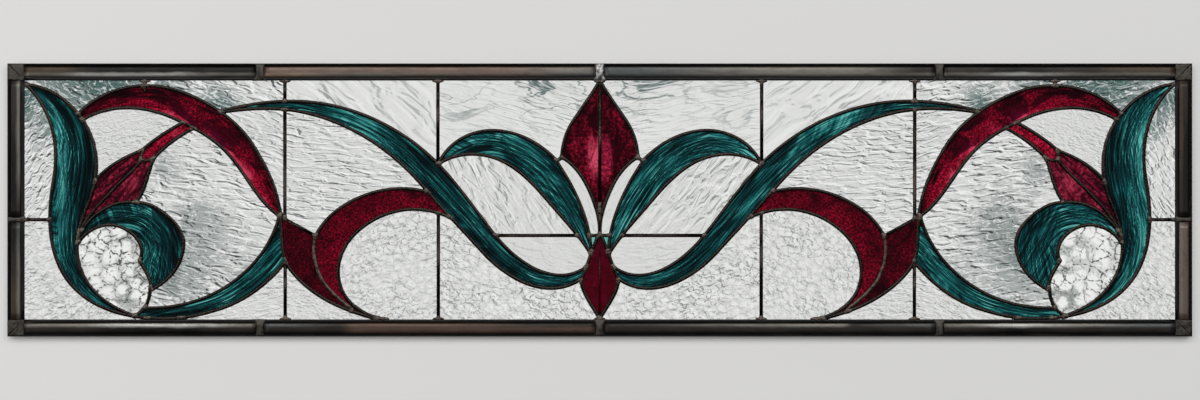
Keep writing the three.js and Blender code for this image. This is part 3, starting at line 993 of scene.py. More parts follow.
@dataclass
class Leading:
    """Fits each came's ends to the cames they butt against and finds the joints."""

    trim_reach: float = 9.0
    stretch_reach: float = 4.5
    near: float = 60.0
    few_points: int = 8
    shortest_step: float = 0.02
    lines: dict[str, np.ndarray] = field(default_factory=dict)
    joints: list[np.ndarray] = field(default_factory=list)

    def fit(self, cartoon: Cartoon) -> "Leading":
        """Fits every line of the cartoon.

        Args:
            cartoon: the drawing.

        Returns:
            Itself, with fitted lines and joints.
        """
        x, low, high = LIGHT_HALF, LIGHT_BOTTOM, LIGHT_TOP
        rim = {"rim": np.array([(-x, low), (x, low), (x, high), (-x, high), (-x, low)], float)}
        drawn = {**cartoon.lines, **rim}
        for name, points in cartoon.lines.items():
            others = [line for key, line in drawn.items() if key != name]
            fitted = self.fit_end(points[::-1], others)[::-1]
            fitted = self.fit_end(fitted, others)
            steps = np.linalg.norm(np.diff(fitted, axis=0), axis=1)
            self.lines[name] = fitted[np.concatenate([[True], steps > self.shortest_step])]
        self.find_joints()
        return self

    def fit_end(self, points: np.ndarray, others: list[np.ndarray]) -> np.ndarray:
        """Trims or lengthens the last end of a line so that it stops on another line."""
        walked = 0.0
        length = float(np.linalg.norm(np.diff(points, axis=0), axis=1).sum())
        reach = min(self.trim_reach, 0.45 * length)
        for i in range(len(points) - 1, 0, -1):
            a, b = points[i], points[i - 1]
            best = None
            for other in others:
                near = np.linalg.norm(other - a, axis=1) < (self.near if len(other) > self.few_points else math.inf)
                for k in np.flatnonzero(near[:-1] | near[1:]):
                    t = crossing(a, b, other[k], other[k + 1])
                    if t is not None and (best is None or t < best):
                        best = t
            step = float(np.linalg.norm(b - a))
            if best is not None and walked + best * step <= reach:
                return np.vstack([points[:i], a + (b - a) * best])
            walked += step
            if walked > reach:
                break
        gap, foot, _ = min((nearest(other, points[-1]) for other in others), key=lambda n: n[0])
        if self.shortest_step < gap < self.stretch_reach:
            return np.vstack([points, foot])
        return points

    def find_joints(self, reach: float = 3.2) -> None:
        """Gathers the line ends into joints."""
        ends = [line[k] for line in self.lines.values() for k in (0, -1)]
        groups: list[list[np.ndarray]] = []
        for end in ends:
            home = next((g for g in groups if np.linalg.norm(np.mean(g, axis=0) - end) < reach), None)
            if home is None:
                groups.append([end])
            else:
                home.append(end)
        self.joints = [np.mean(group, axis=0) for group in groups]


@dataclass
class PaneCutter:
    """Cuts the opening into panes along the fitted cames."""

    glass_gap: float = 0.65
    edge_lap: float = 0.2
    thin: dict[str, float] = field(default_factory=lambda: {"gem_seam": 0.25})
    longest_ring: int = 20000

    def cut(self, lines: dict[str, np.ndarray]) -> None:
        """Divides the opening into the cells between the cames.

        Args:
            lines: the fitted lines by name.
        """
        verts: list[Vector] = []
        edges: list[tuple[int, int]] = []

        def loop(corners: np.ndarray) -> None:
            points = self.split_long(corners)
            base = len(verts)
            verts.extend(Vector((float(p[0]), float(p[1]))) for p in points)
            edges.extend((base + i, base + (i + 1) % len(points)) for i in range(len(points)))

        x = LIGHT_HALF + self.edge_lap
        low, high = LIGHT_BOTTOM - self.edge_lap, LIGHT_TOP + self.edge_lap
        loop(np.array([(-x, low), (x, low), (x, high), (-x, high)]))
        for name, points in lines.items():
            half = self.thin.get(name, self.glass_gap)
            line = self.reach_out(points)
            sides, stretch = side_vectors(line)
            offset = sides * (stretch * half)[:, None]
            loop(np.vstack([line + offset, (line - offset)[::-1]]))
        self.verts, drawn, self.faces, _, sources, _ = delaunay_2d_cdt(verts, edges, [], 0, 1e-5, True)
        cut_edges = {tuple(sorted(edge)) for edge, source in zip(drawn, sources) if source}
        owners: dict[tuple[int, int], list[int]] = {}
        for f, face in enumerate(self.faces):
            for i in range(3):
                owners.setdefault(tuple(sorted((face[i], face[i - 1]))), []).append(f)
        self.links: list[list[int]] = [[] for _ in self.faces]
        for key, pair in owners.items():
            if len(pair) == 2 and key not in cut_edges:
                self.links[pair[0]].append(pair[1])
                self.links[pair[1]].append(pair[0])

    @staticmethod
    def split_long(corners: np.ndarray, longest: float = 3.1) -> np.ndarray:
        """Splits a loop's long edges, which the triangulation holds better when they are short."""
        out = []
        for i, here in enumerate(corners):
            after = corners[(i + 1) % len(corners)]
            count = max(1, math.ceil(float(np.linalg.norm(after - here)) / longest))
            out += [here + (after - here) * k / count for k in range(count)]
        return np.array(out)

    @staticmethod
    def reach_out(points: np.ndarray) -> np.ndarray:
        """Lengthens both ends of a line a little, so that its glass gap meets the next one."""
        out = points.copy()
        for end, inner in ((0, 1), (-1, -2)):
            step = points[end] - points[inner]
            out[end] = points[end] + step / np.linalg.norm(step) * 0.3
        return out

    def outline(self, seed: Point) -> np.ndarray:
        """Finds the outline of the cell around a point.

        Args:
            seed: a point inside the cell.

        Returns:
            The outline's points in order.
        """
        home = self.home_face(seed)
        cell, queue = {home}, [home]
        while queue:
            for other in self.links[queue.pop()]:
                if other not in cell:
                    cell.add(other)
                    queue.append(other)
        onward: dict[int, list[int]] = {}
        inner = {(self.faces[f][i - 1], self.faces[f][i]) for f in cell for i in range(3)}
        for a, b in inner:
            if (b, a) not in inner:
                onward.setdefault(a, []).append(b)
        start = max(onward, key=lambda v: self.verts[v][0])
        ring, at = [start], onward[start][0]
        while at != start and len(ring) < self.longest_ring:
            ring.append(at)
            at = onward[at][0]
        return np.array([self.verts[v][:] for v in ring])

    def home_face(self, spot: Point) -> int:
        """Finds the triangle that covers a point."""
        corners = np.array([[self.verts[v][:] for v in face] for face in self.faces])
        before = np.roll(corners, 1, axis=1)
        edge = corners - before
        gap = np.array(spot) - before
        turns = edge[:, :, 0] * gap[:, :, 1] - edge[:, :, 1] * gap[:, :, 0]
        least = turns.min(axis=1)
        return int(np.argmax((least >= 0) * (least + 1)))


# --------------------------------------------------------------------------------------
# Glass panes
# --------------------------------------------------------------------------------------


@dataclass(frozen=True)
class PaneSpec:
    """One pane of the mirrored pattern.

    Its point is on the left half. The two flow lines bound a streaky pane, and lean is
    how much lighter it grows from the first to the second.
    """

    name: str
    at: Point
    glass: Glass
    node: str = ""
    flow: tuple[str, ...] = ()
    lean: float = 0.0

    def solid(self, side: Side) -> str:
        """Names the solid that this pane stands for on one half. The diamond is one solid for both."""
        return "gem" if self.node == "gem" else f"{self.node or self.name}_{side.name.lower()}"


C, T, R = Glass.CLEAR, Glass.TEAL, Glass.RUBY
PANES = [
    PaneSpec("margin_upper", (-522.8, 164.6), C),
    PaneSpec("margin_lower", (-521, 53), C),
    PaneSpec("outer_leaf", (-488.4, 155.3), T, flow=("leaf_outer", "leaf_inner"), lean=-0.7),
    PaneSpec("head_end", (-492, 231), C, node="head"),
    PaneSpec("head", (-343.9, 225.1), C),
    PaneSpec("arch_side", (-306.7, 183.2), C),
    PaneSpec("arch", (-390.5, 215.8), R, flow=("arch_outer", "arch_inner"), lean=0.9),
    PaneSpec("under_arch", (-441.8, 187.9), C),
    PaneSpec("bud_stalk", (-401.7, 182.3), R, flow=("stalk_upper", "stalk_lower")),
    PaneSpec("bud", (-456, 147), R, flow=("bud_upper", "bud_vein")),
    PaneSpec("bud_low", (-433, 143), R, node="bud", flow=("bud_vein", "bud_right")),
    PaneSpec("curl", (-404.5, 85.5), T, flow=("curl_outer", "curl_inner+curl_throat"), lean=0.25),
    PaneSpec("curl_eye", (-455.8, 76.2), C),
    PaneSpec("bay", (-353.2, 127.4), C),
    PaneSpec("crescent", (-343.9, 41.8), T, flow=("crescent_inner", "crescent_outer")),
    PaneSpec("crescent_base", (-311.3, 29.7), C),
    PaneSpec("petal", (-278.7, 66.9), R, flow=("petal_left", "petal_vein")),
    PaneSpec("hook", (-250.7, 80.9), R, flow=("hook_outer", "hook_inner"), lean=0.3),
    PaneSpec("valley", (-250.7, 155.3), C),
    PaneSpec("petal_base", (-278.7, 29.7), C),
    PaneSpec("hook_bowl", (-194.8, 71.5), C),
    PaneSpec("base", (-92.3, 34.3), C),
    PaneSpec("brow", (-194.8, 220.4), C),
    PaneSpec("ribbon", (-185.5, 173.9), T, flow=("ribbon_upper", "ribbon_lower")),
    PaneSpec("crown", (-73.7, 220.4), C),
    PaneSpec("inner_leaf", (-92.3, 178.5), T, flow=("inner_upper+inner_right", "inner_lower")),
    PaneSpec("loop", (-92.3, 127.4), C),
    PaneSpec("loop_low", (-62, 82), C, node="loop"),
    PaneSpec("flower_gap", (-19.7, 136.7), C),
    PaneSpec("flower", (-17.8, 173.9), R),
    PaneSpec("gem", (-6, 52.9), R, node="gem"),
    PaneSpec("wedge", (-5.7, 90.6), T, node="inner_leaf", flow=("inner_right", "gem_upper")),
]

DEEP_STAIN = linear(56, 92, 88)
GREY_STAIN = linear(112, 119, 115)
PALE_STAIN = linear(120, 131, 129)
BRIGHT_BODY = linear(228, 229, 227)
CLEAR_LOOKS = {
    "margin_upper": ClearLook(55, 3.4, 2.2, lines=1, steep_flank_lines=0.6, grain=0.1, stain=1.0, stain_colour=DEEP_STAIN),
    "margin_lower": ClearLook(30, 3.4, 1.5, lines=0.6, grain=0.2, pebbles=0.9, pebble_size=7, stain=0.5),
    "head_end": ClearLook(-20, 4.2, 2, lines=1.0, steep_flank_lines=0.6, grain=0.1, stain=1.0, stain_colour=DEEP_STAIN),
    "head": ClearLook(-14, 4, 3, lines=1, steep_flank_lines=0.7, grain=0.1, stain=1.0, stain_colour=DEEP_STAIN),
    "arch_side": ClearLook(-16, 3.4, 3.4, lines=0.95, steep_flank_lines=0.1, grain=0.1, stain=0.5),
    "under_arch": ClearLook(12, 2.4, 2.4, lines=0.6, steep_flank_lines=0, grain=0.25, grain_size=1.5),
    "bay": ClearLook(-8, 4.0, 3.4, lines=1, steep_flank_lines=0.7, grain=0.1, stain=1.0, stain_colour=PALE_STAIN),
    "curl_eye": ClearLook(
        30, 6.5, 1.25, 0.25, 0.4, grain=0.1, pebbles=2.2, pebble_size=13, stain=1.0, stain_colour=GREY_STAIN
    ),
    "crescent_base": ClearLook(12, 2.6, 3.2, lines=0.8, steep_flank_lines=0),
    "valley": ClearLook(-3, 3.0, 4.2, lines=1, steep_flank_lines=0.1, grain=0.1),
    "petal_base": ClearLook(-5, 2.8, 2.6, lines=0.7, steep_flank_lines=0, pebbles=0.3),
    "hook_bowl": ClearLook(20, 5, 1.3, lines=0.4, steep_flank_lines=0.1, grain=0.15, pebbles=0.9, pebble_size=7),
    "base": ClearLook(-10, 4.6, 1.6, lines=0.45, steep_flank_lines=0.3, grain=0.15, pebbles=1.0, pebble_size=8, stain=0.6),
    "brow": ClearLook(-38, 8.5, 3.4, 0.68, 0.05, bend=12, grain=0.03, stain=0.2, body=linear(226, 227, 225)),
    "crown": ClearLook(
        -12, 2.6, 8, 0.6, 0.1, bend=9, grain=0.03, stain=0.12, stain_colour=DEEP_STAIN, veins=1, body=BRIGHT_BODY
    ),
    "loop": ClearLook(-52, 4.4, 3.2, lines=0.9, steep_flank_lines=0.1, grain=0.1),
    "loop_low": ClearLook(-10, 4, 3, lines=0.35, steep_flank_lines=0, grain=0.1),
    "flower_gap": ClearLook(-50, 5, 4, lines=0.2, steep_flank_lines=0, grain=0.1),
}

RUBY_LOOKS = {
    "plain": RubyLook(),
    "petal": RubyLook(body=linear(98, 2, 24), sparkle=0.5),
    "bud": RubyLook(
        dark=linear(34, 2, 12), body=linear(112, 14, 40), spark=linear(190, 66, 90), size=3.2, sparkle=0.4, streak=1.1
    ),
    "gem": RubyLook(dark=linear(58, 0, 12), body=linear(80, 2, 20), spark=linear(96, 4, 26), size=6.0, sparkle=0.2),
    "flower": RubyLook(
        body=linear(104, 2, 28), spark=linear(196, 34, 66), size=3.0, sparkle=0.5,
        swing=2.0, cloud=110.0, drawn=3.0, veins=0.75,
    ),
    "arch": RubyLook(dark=linear(18, 0, 4), body=linear(142, 2, 38), size=1.7, sparkle=1.0, swing=0.6, streak=0.5),
    "stalk": RubyLook(body=linear(150, 6, 40), spark=linear(214, 40, 74), size=2.0, sparkle=0.7, streak=0.7),
}

# How light each pane is before its patches, where it isn't USUAL_TONE.
# On the clear panes the level sets how strongly the painted ripple light and shade show.
TONE_LEVELS = {
    "outer_leaf": 0.4, "curl": 0.36, "crescent": 0.4, "ribbon": 0.34, "inner_leaf": 0.4, "wedge": 1.3,
    "arch": 0.3, "bud": 0.5, "bud_low": 0.56, "petal": 0.16, "hook": 0.34, "flower": 0.12, "gem": 0.5,
    "head_end": 1.0, "head": 1.0, "bay": 0.95, "margin_upper": 1.0, "margin_lower": 0.85, "curl_eye": 1.0,
    "valley": 0.95, "brow": 0.5, "crown": 0.45, "loop": 0.55, "under_arch": 1.0, "arch_side": 0.95,
    "crescent_base": 0.9, "petal_base": 0.8, "hook_bowl": 0.85, "base": 0.85,
}

# Soft patches that lighten or darken a pane: x, z and radius in mm, and the change of tone.
# On the ruby panes these patches paint broad light and shade, and the flower's strongest ones paint its glow; on the
# clear panes they set how strongly the painted ripple light and shade show.
TONE_PATCHES: dict[str, list[Patch]] = {
    "outer_leaf": [(-500, 175, 24, 0.22), (-480, 170, 20, -0.16), (-483, 125, 18, -0.1), (-470, 32, 20, 0.1)],
    "curl": [(-392, 108, 18, -0.14), (-425, 114, 14, 0.1), (-466, 105, 14, 0.2), (-410, 62, 14, 0.14)],
    "crescent": [(-412, 22, 20, -0.12), (-350, 36, 26, 0.2), (-305, 90, 18, -0.05), (-385, 22, 16, 0.06)],
    "ribbon": [(-225, 195, 34, 0.36), (-130, 125, 40, -0.06), (-300, 212, 30, 0.1), (-50, 60, 30, 0.05)],
    "inner_leaf": [(-140, 172, 14, 0.45), (-100, 190, 22, 0.02), (-62, 132, 16, 0.16), (-20, 100, 16, 0.2)],
    "arch": [
        (-385, 212, 30, 0.3), (-350, 190, 30, 0.22), (-322, 150, 34, 0.2),
        (-440, 232, 30, -0.2), (-470, 210, 18, -0.4),
    ],
    "bud_low": [(-434, 142, 9, 0.6)],
    "petal": [(-284, 80, 14, 0.14)],
    "hook": [(-262, 78, 18, -0.08)],
    "flower": [
        (-5, 184, 9, 0.8), (-6, 172, 10, 1.1), (-5, 160, 10, 1.1),
        (-4, 148, 8, 0.7), (-25, 180, 10, 0.7), (-13, 205, 9, 0.4),
    ],
    "bay": [(-395, 145, 22, 0.3)],
    "margin_upper": [(-525, 205, 30, 0.3)],
    "valley": [(-265, 175, 40, 0.1)],
    "brow": [(-255, 222, 40, 0.5)],
    "crown": [(-40, 215, 36, 0.45), (-135, 205, 16, 0.3)],
    "loop": [(-120, 150, 24, 0.6), (-60, 120, 20, 0.1)],
    "base": [(-75, 30, 30, 0.3)],
}

# Soft patches of grey-green stain: x, z and radius in mm, and the strength.
STAINS: dict[str, list[Patch]] = {
    "head_end": [(-490, 234, 60, 0.9), (-440, 238, 40, 0.6)],
    "head": [(-352, 217, 24, 1.0), (-405, 237, 36, 0.8)],
    "margin_upper": [(-530, 222, 32, 1.1), (-514, 190, 16, 0.7)],
    "bay": [(-404, 154, 22, 1.0), (-362, 98, 36, 0.8), (-392, 56, 40, 1.1), (-376, 112, 20, 0.8), (-330, 60, 26, 0.6)],
    "curl_eye": [(-440, 88, 16, 0.9), (-452, 76, 9, 0.7), (-430, 52, 20, 1.0), (-440, 34, 16, 0.8)],
    "crown": [(-128, 218, 26, 0.9), (-60, 230, 34, 0.9), (-25, 230, 26, 0.8)],
    "margin_lower": [(-510, 40, 26, 0.5)],
    "brow": [(-262, 230, 16, 0.3)],
    "arch_side": [(-310, 190, 18, 0.6)],
    "base": [(-75, 32, 16, 0.35)],
}


def patch_sum(spot: Point, patches: list[Patch]) -> float:
    """Adds up soft round patches at a point of the left half."""
    total = 0.0
    for x, z, radius, amount in patches:
        total += amount * math.exp(-((spot[0] - x) ** 2 + (spot[1] - z) ** 2) / (2 * (radius * 0.6) ** 2))
    return total


@dataclass
class GlassPane:
    """One pane of glass: flat at the back and gently uneven at the front."""

    spec: PaneSpec
    side: Side
    outline: np.ndarray
    half: float = 1.5
    grid: float = 2.6
    relief: float = 0.16
    flow_width: float = 20.0
    right_start: float = 730.0

    def build(self, leading: Leading, material: bpy.types.Material) -> bpy.types.Object:
        """Builds the pane.

        Args:
            leading: the fitted cames, for the flow of the streaks.
            material: its glass.

        Returns:
            The pane's object.
        """
        bm = bmesh.new()
        rim = bmesh.ops.create_circle(bm, cap_ends=True, segments=len(self.outline), radius=1)["verts"]
        for vert, (x, z) in zip(rim, self.outline):
            vert.co = Vector((x * MM, -self.half * MM, z * MM))
        bmesh.ops.remove_doubles(bm, verts=bm.verts, dist=0.00004)
        self.score(bm)
        front = bm.verts[:]
        edge = [e for e in bm.edges if e.is_boundary]
        grown = bmesh.ops.extrude_edge_only(bm, edges=edge)["geom"]
        behind = [g for g in grown if isinstance(g, bmesh.types.BMVert)]
        bmesh.ops.translate(bm, vec=(0, 2 * self.half * MM, 0), verts=behind)
        bmesh.ops.edgeloop_fill(bm, edges=[e for e in bm.edges if e.is_boundary])
        self.ripple(bm, front)
        bmesh.ops.recalc_face_normals(bm, faces=bm.faces)
        self.mark(bm, leading)
        name = f"{self.spec.name}_pane_{self.side.name.lower()}"
        piece = new_object(name, bm, [material])
        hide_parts(self.spec.solid(self.side))
        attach(piece, "root")
        return piece

    def bound(self, leading: Leading, names: str) -> np.ndarray:
        """Returns one bounding line of the flow, joined from one or more cames."""
        runs = []
        for name in names.split("+"):
            line = leading.lines[f"{name}.{self.side.name.lower()}"]
            runs.append(line if self.side is Side.LEFT else line[::-1])
        return np.vstack(runs)

    def score(self, bm: bmesh.types.BMesh) -> None:
        """Divides the front into a grid that the relief can bend."""
        low, high = self.outline.min(axis=0), self.outline.max(axis=0)
        for axis, normal in ((0, (1, 0, 0)), (1, (0, 0, 1))):
            count = max(1, round((high[axis] - low[axis]) / self.grid))
            for i in range(1, count):
                place = (low[axis] + (high[axis] - low[axis]) * i / count) * MM
                spot = (place, 0, 0) if axis == 0 else (0, 0, place)
                geom = bm.verts[:] + bm.edges[:] + bm.faces[:]
                bmesh.ops.bisect_plane(bm, geom=geom, dist=1e-7, plane_co=spot, plane_no=normal)

    def ripple(self, bm: bmesh.types.BMesh, front: list[bmesh.types.BMVert]) -> None:
        """Moves the points of the front out and in."""
        size = {Glass.CLEAR: 9.0, Glass.TEAL: 11.0, Glass.RUBY: 6.0}[self.spec.glass] * MM
        for vert in front:
            swell = noise.noise(Vector((vert.co.x / size, self.side.value * 3.0, vert.co.z / size)))
            vert.co.y += swell * self.relief * MM
        for face in bm.faces:
            face.smooth = len(face.verts) < 12 and face.calc_center_median().y < -self.half * 0.5 * MM

    def mark(self, bm: bmesh.types.BMesh, leading: Leading) -> None:
        """Marks each point with its flow, tone and stain, for the glass to follow."""
        tone = bm.verts.layers.float.new("tone")
        stain = bm.verts.layers.float.new("stain")
        flow = bm.verts.layers.float_vector.new("flow")
        base = TONE_LEVELS.get(self.spec.name, USUAL_TONE)
        patches, stains = (marks.get(self.spec.name, []) for marks in (TONE_PATCHES, STAINS))
        lines = [self.bound(leading, names) for names in self.spec.flow]
        for vert in bm.verts:
            x, z = vert.co.x / MM * self.side.value, vert.co.z / MM
            vert[tone] = min(LIGHTEST_TONE, max(0.0, base + patch_sum((x, z), patches)))
            vert[stain] = min(1.0, patch_sum((x, z), stains))
            if lines:
                spot = np.array([vert.co.x / MM, z])
                near, _, along = nearest(lines[0], spot)
                far, _, _ = nearest(lines[1], spot)
                along += self.right_start if self.side is Side.RIGHT else 0
                vert[flow] = Vector((along / MARK_UNIT, (near - far) / self.flow_width, 0))
                share = near / max(near + far, 1e-6)
                vert[tone] = min(LIGHTEST_TONE, max(0.0, vert[tone] + self.spec.lean * (share - 0.5)))


# --------------------------------------------------------------------------------------
# Inner came and its solder
# --------------------------------------------------------------------------------------


@dataclass
class CameLattice:
    """The soldered came between the panes."""

    half_face: float = 1.65
    half_depth: float = 2.55
    shoulder: float = 1.85
    seam_share: float = 0.36
    sleeve_length: float = 3.5
    blob_radius: float = 1.95
    blob_depth: float = 2.95
    joint_reach: float = 2.2
    rim_band: float = 2.0
    cap_reach: float = 5.2
    cap_steps: int = 8

    def build(self, leading: Leading, came: bpy.types.Material, solder: bpy.types.Material) -> bpy.types.Object:
        """Builds the lattice.

        Args:
            leading: the fitted cames and joints.
            came: the came's finish.
            solder: the joints' finish.

        Returns:
            The lattice's object.
        """
        bm = bmesh.new()
        section = domed_section(self.half_face, self.half_depth, self.shoulder)
        for name, points in leading.lines.items():
            widths = np.array([self.wobble(name, p) for p in points])
            if name.startswith("gem_seam"):
                widths *= self.seam_share
            sweep(bm, points, section, 1 if name.startswith("petal_vein") else 0, widths)
        rng = random.Random(11)
        for joint in leading.joints:
            self.solder_joint(bm, joint, leading, rng)
        piece = new_object("inner_came_lattice", bm, [came, solder])
        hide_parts("inner_came")
        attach(piece, "root")
        return piece

    @staticmethod
    def wobble(name: str, point: np.ndarray) -> float:
        """Varies the came's width a little along its run, as hand-stretched lead does."""
        return 1 + 0.06 * noise.noise(Vector((point[0] / 14, len(name) * 1.7, point[1] / 14)))

    def solder_joint(self, bm: bmesh.types.BMesh, joint: np.ndarray, leading: Leading, rng: random.Random) -> None:
        """Runs solder over one joint and a little way down each came that meets there."""
        band = self.rim_band
        at_rim = abs(joint[0]) > LIGHT_HALF - band or not LIGHT_BOTTOM + band <= joint[1] <= LIGHT_TOP - band
        section = domed_section(self.half_face * 1.07, self.half_depth, self.shoulder)
        for name, points in leading.lines.items():
            gap, _, along = nearest(points, joint)
            if gap > self.joint_reach or name.startswith("gem_seam"):
                continue
            reach = self.sleeve_length * rng.uniform(0.7, 1.25)
            piece = clipped(points, along - reach, along + reach)
            if len(piece) < 2 or np.linalg.norm(piece[0] - piece[-1]) < 0.6:
                continue
            piece = self.refine(piece, 1.1)
            away = np.array([np.linalg.norm(p - joint) for p in piece]) / reach
            swell = np.clip(1 - away**2, 0, 1)
            wander = np.array([noise.noise(Vector((p[0] / 2.3, 5.0, p[1] / 2.3))) for p in piece])
            widths = 0.93 + 0.26 * swell + 0.07 * wander * swell
            sweep(bm, piece, section, 1, widths, 0.985 + 0.13 * swell)
        radius = self.blob_radius * rng.uniform(0.9, 1.15) * (0.8 if at_rim else 1)
        blob = bmesh.new()
        made = bmesh.ops.create_icosphere(blob, subdivisions=3, radius=1)["verts"]
        turn = Matrix.Rotation(rng.uniform(0, math.pi), 4, "Y")
        squeeze = Matrix.Diagonal((radius * rng.uniform(0.95, 1.2), self.blob_depth, radius, 1))
        bmesh.ops.transform(blob, matrix=turn @ squeeze, verts=made)
        shift = Vector((rng.uniform(0, 50), 0, 0))
        for vert in made:
            lump = 1 + 0.13 * noise.noise(vert.co / 1.5 + shift)
            depth = math.copysign(min(abs(vert.co.y) * 1.12, self.blob_depth), vert.co.y)
            vert.co = Vector((vert.co.x * lump + joint[0], depth, vert.co.z * lump + joint[1])) * MM
        for face in blob.faces:
            face.material_index = 1
            face.smooth = True
        merge_into(bm, blob)
        if at_rim and abs(joint[0]) < LIGHT_HALF - 20:
            self.cap(bm, joint)

    def cap(self, bm: bmesh.types.BMesh, joint: np.ndarray) -> None:
        """Spreads solder along the border where a came meets it, as a low wide cap."""
        inward = 1 if joint[1] < PANEL_HEIGHT / 2 else -1
        shares = [k / self.cap_steps for k in range(-self.cap_steps, self.cap_steps + 1)]
        line = np.array([(joint[0] + self.cap_reach * share, joint[1] + inward * 0.45) for share in shares])
        swell = np.array([max(0.12, 1 - abs(share) ** 1.6) for share in shares])
        section = domed_section(self.half_face * 1.2, self.half_depth, self.shoulder)
        sweep(bm, line, section, 1, 0.25 + 0.75 * swell, 0.86 + 0.26 * swell)

    @staticmethod
    def refine(points: np.ndarray, spacing: float) -> np.ndarray:
        """Puts points along a line at an even, finer spacing."""
        along = np.concatenate([[0], np.cumsum(np.linalg.norm(np.diff(points, axis=0), axis=1))])
        count = max(2, math.ceil(along[-1] / spacing) + 1)
        marks = np.linspace(0, along[-1], count)
        return np.column_stack([np.interp(marks, along, points[:, k]) for k in (0, 1)])


# --------------------------------------------------------------------------------------
# Border
# --------------------------------------------------------------------------------------


class Edge(Enum):
    """The four sides of the border, named for the solid each stands for."""

    TOP = "top_bar"
    BOTTOM = "bottom_bar"
    LEFT = "left_bar"
    RIGHT = "right_bar"

    @property
    def half_length(self) -> float:
        """Half the length of this side."""
        return (PANEL_WIDTH if self in (Edge.TOP, Edge.BOTTOM) else PANEL_HEIGHT) / 2

    def place(self, along: float, inward: float, depth: float) -> Vector:
        """Places a point of this side.

        Args:
            along: distance from the side's middle, towards +X or +Z, in mm.
            inward: distance in from the outer edge.
            depth: distance from the panel's middle plane, front negative.

        Returns:
            The point in metres.
        """
        if self in (Edge.TOP, Edge.BOTTOM):
            spot = (along, depth, PANEL_HEIGHT - inward if self is Edge.TOP else inward)
        else:
            sense = -1 if self is Edge.LEFT else 1
            spot = (sense * (PANEL_WIDTH / 2 - inward), depth, PANEL_HEIGHT / 2 + along)
        return Vector(spot) * MM


def round_trip(steps: int) -> list[tuple[int, int]]:
    """Lists (sign, step) pairs that run along the front face and back along the rear one."""
    return [(-1, k) for k in range(steps)] + [(1, k) for k in reversed(range(steps))]


def both_faces(front: list[Point]) -> list[Point]:
    """Completes an (inward, depth) outline with its mirror on the back."""
    return [(v, -d) for v, d in front] + [(v, d) for v, d in reversed(front)]


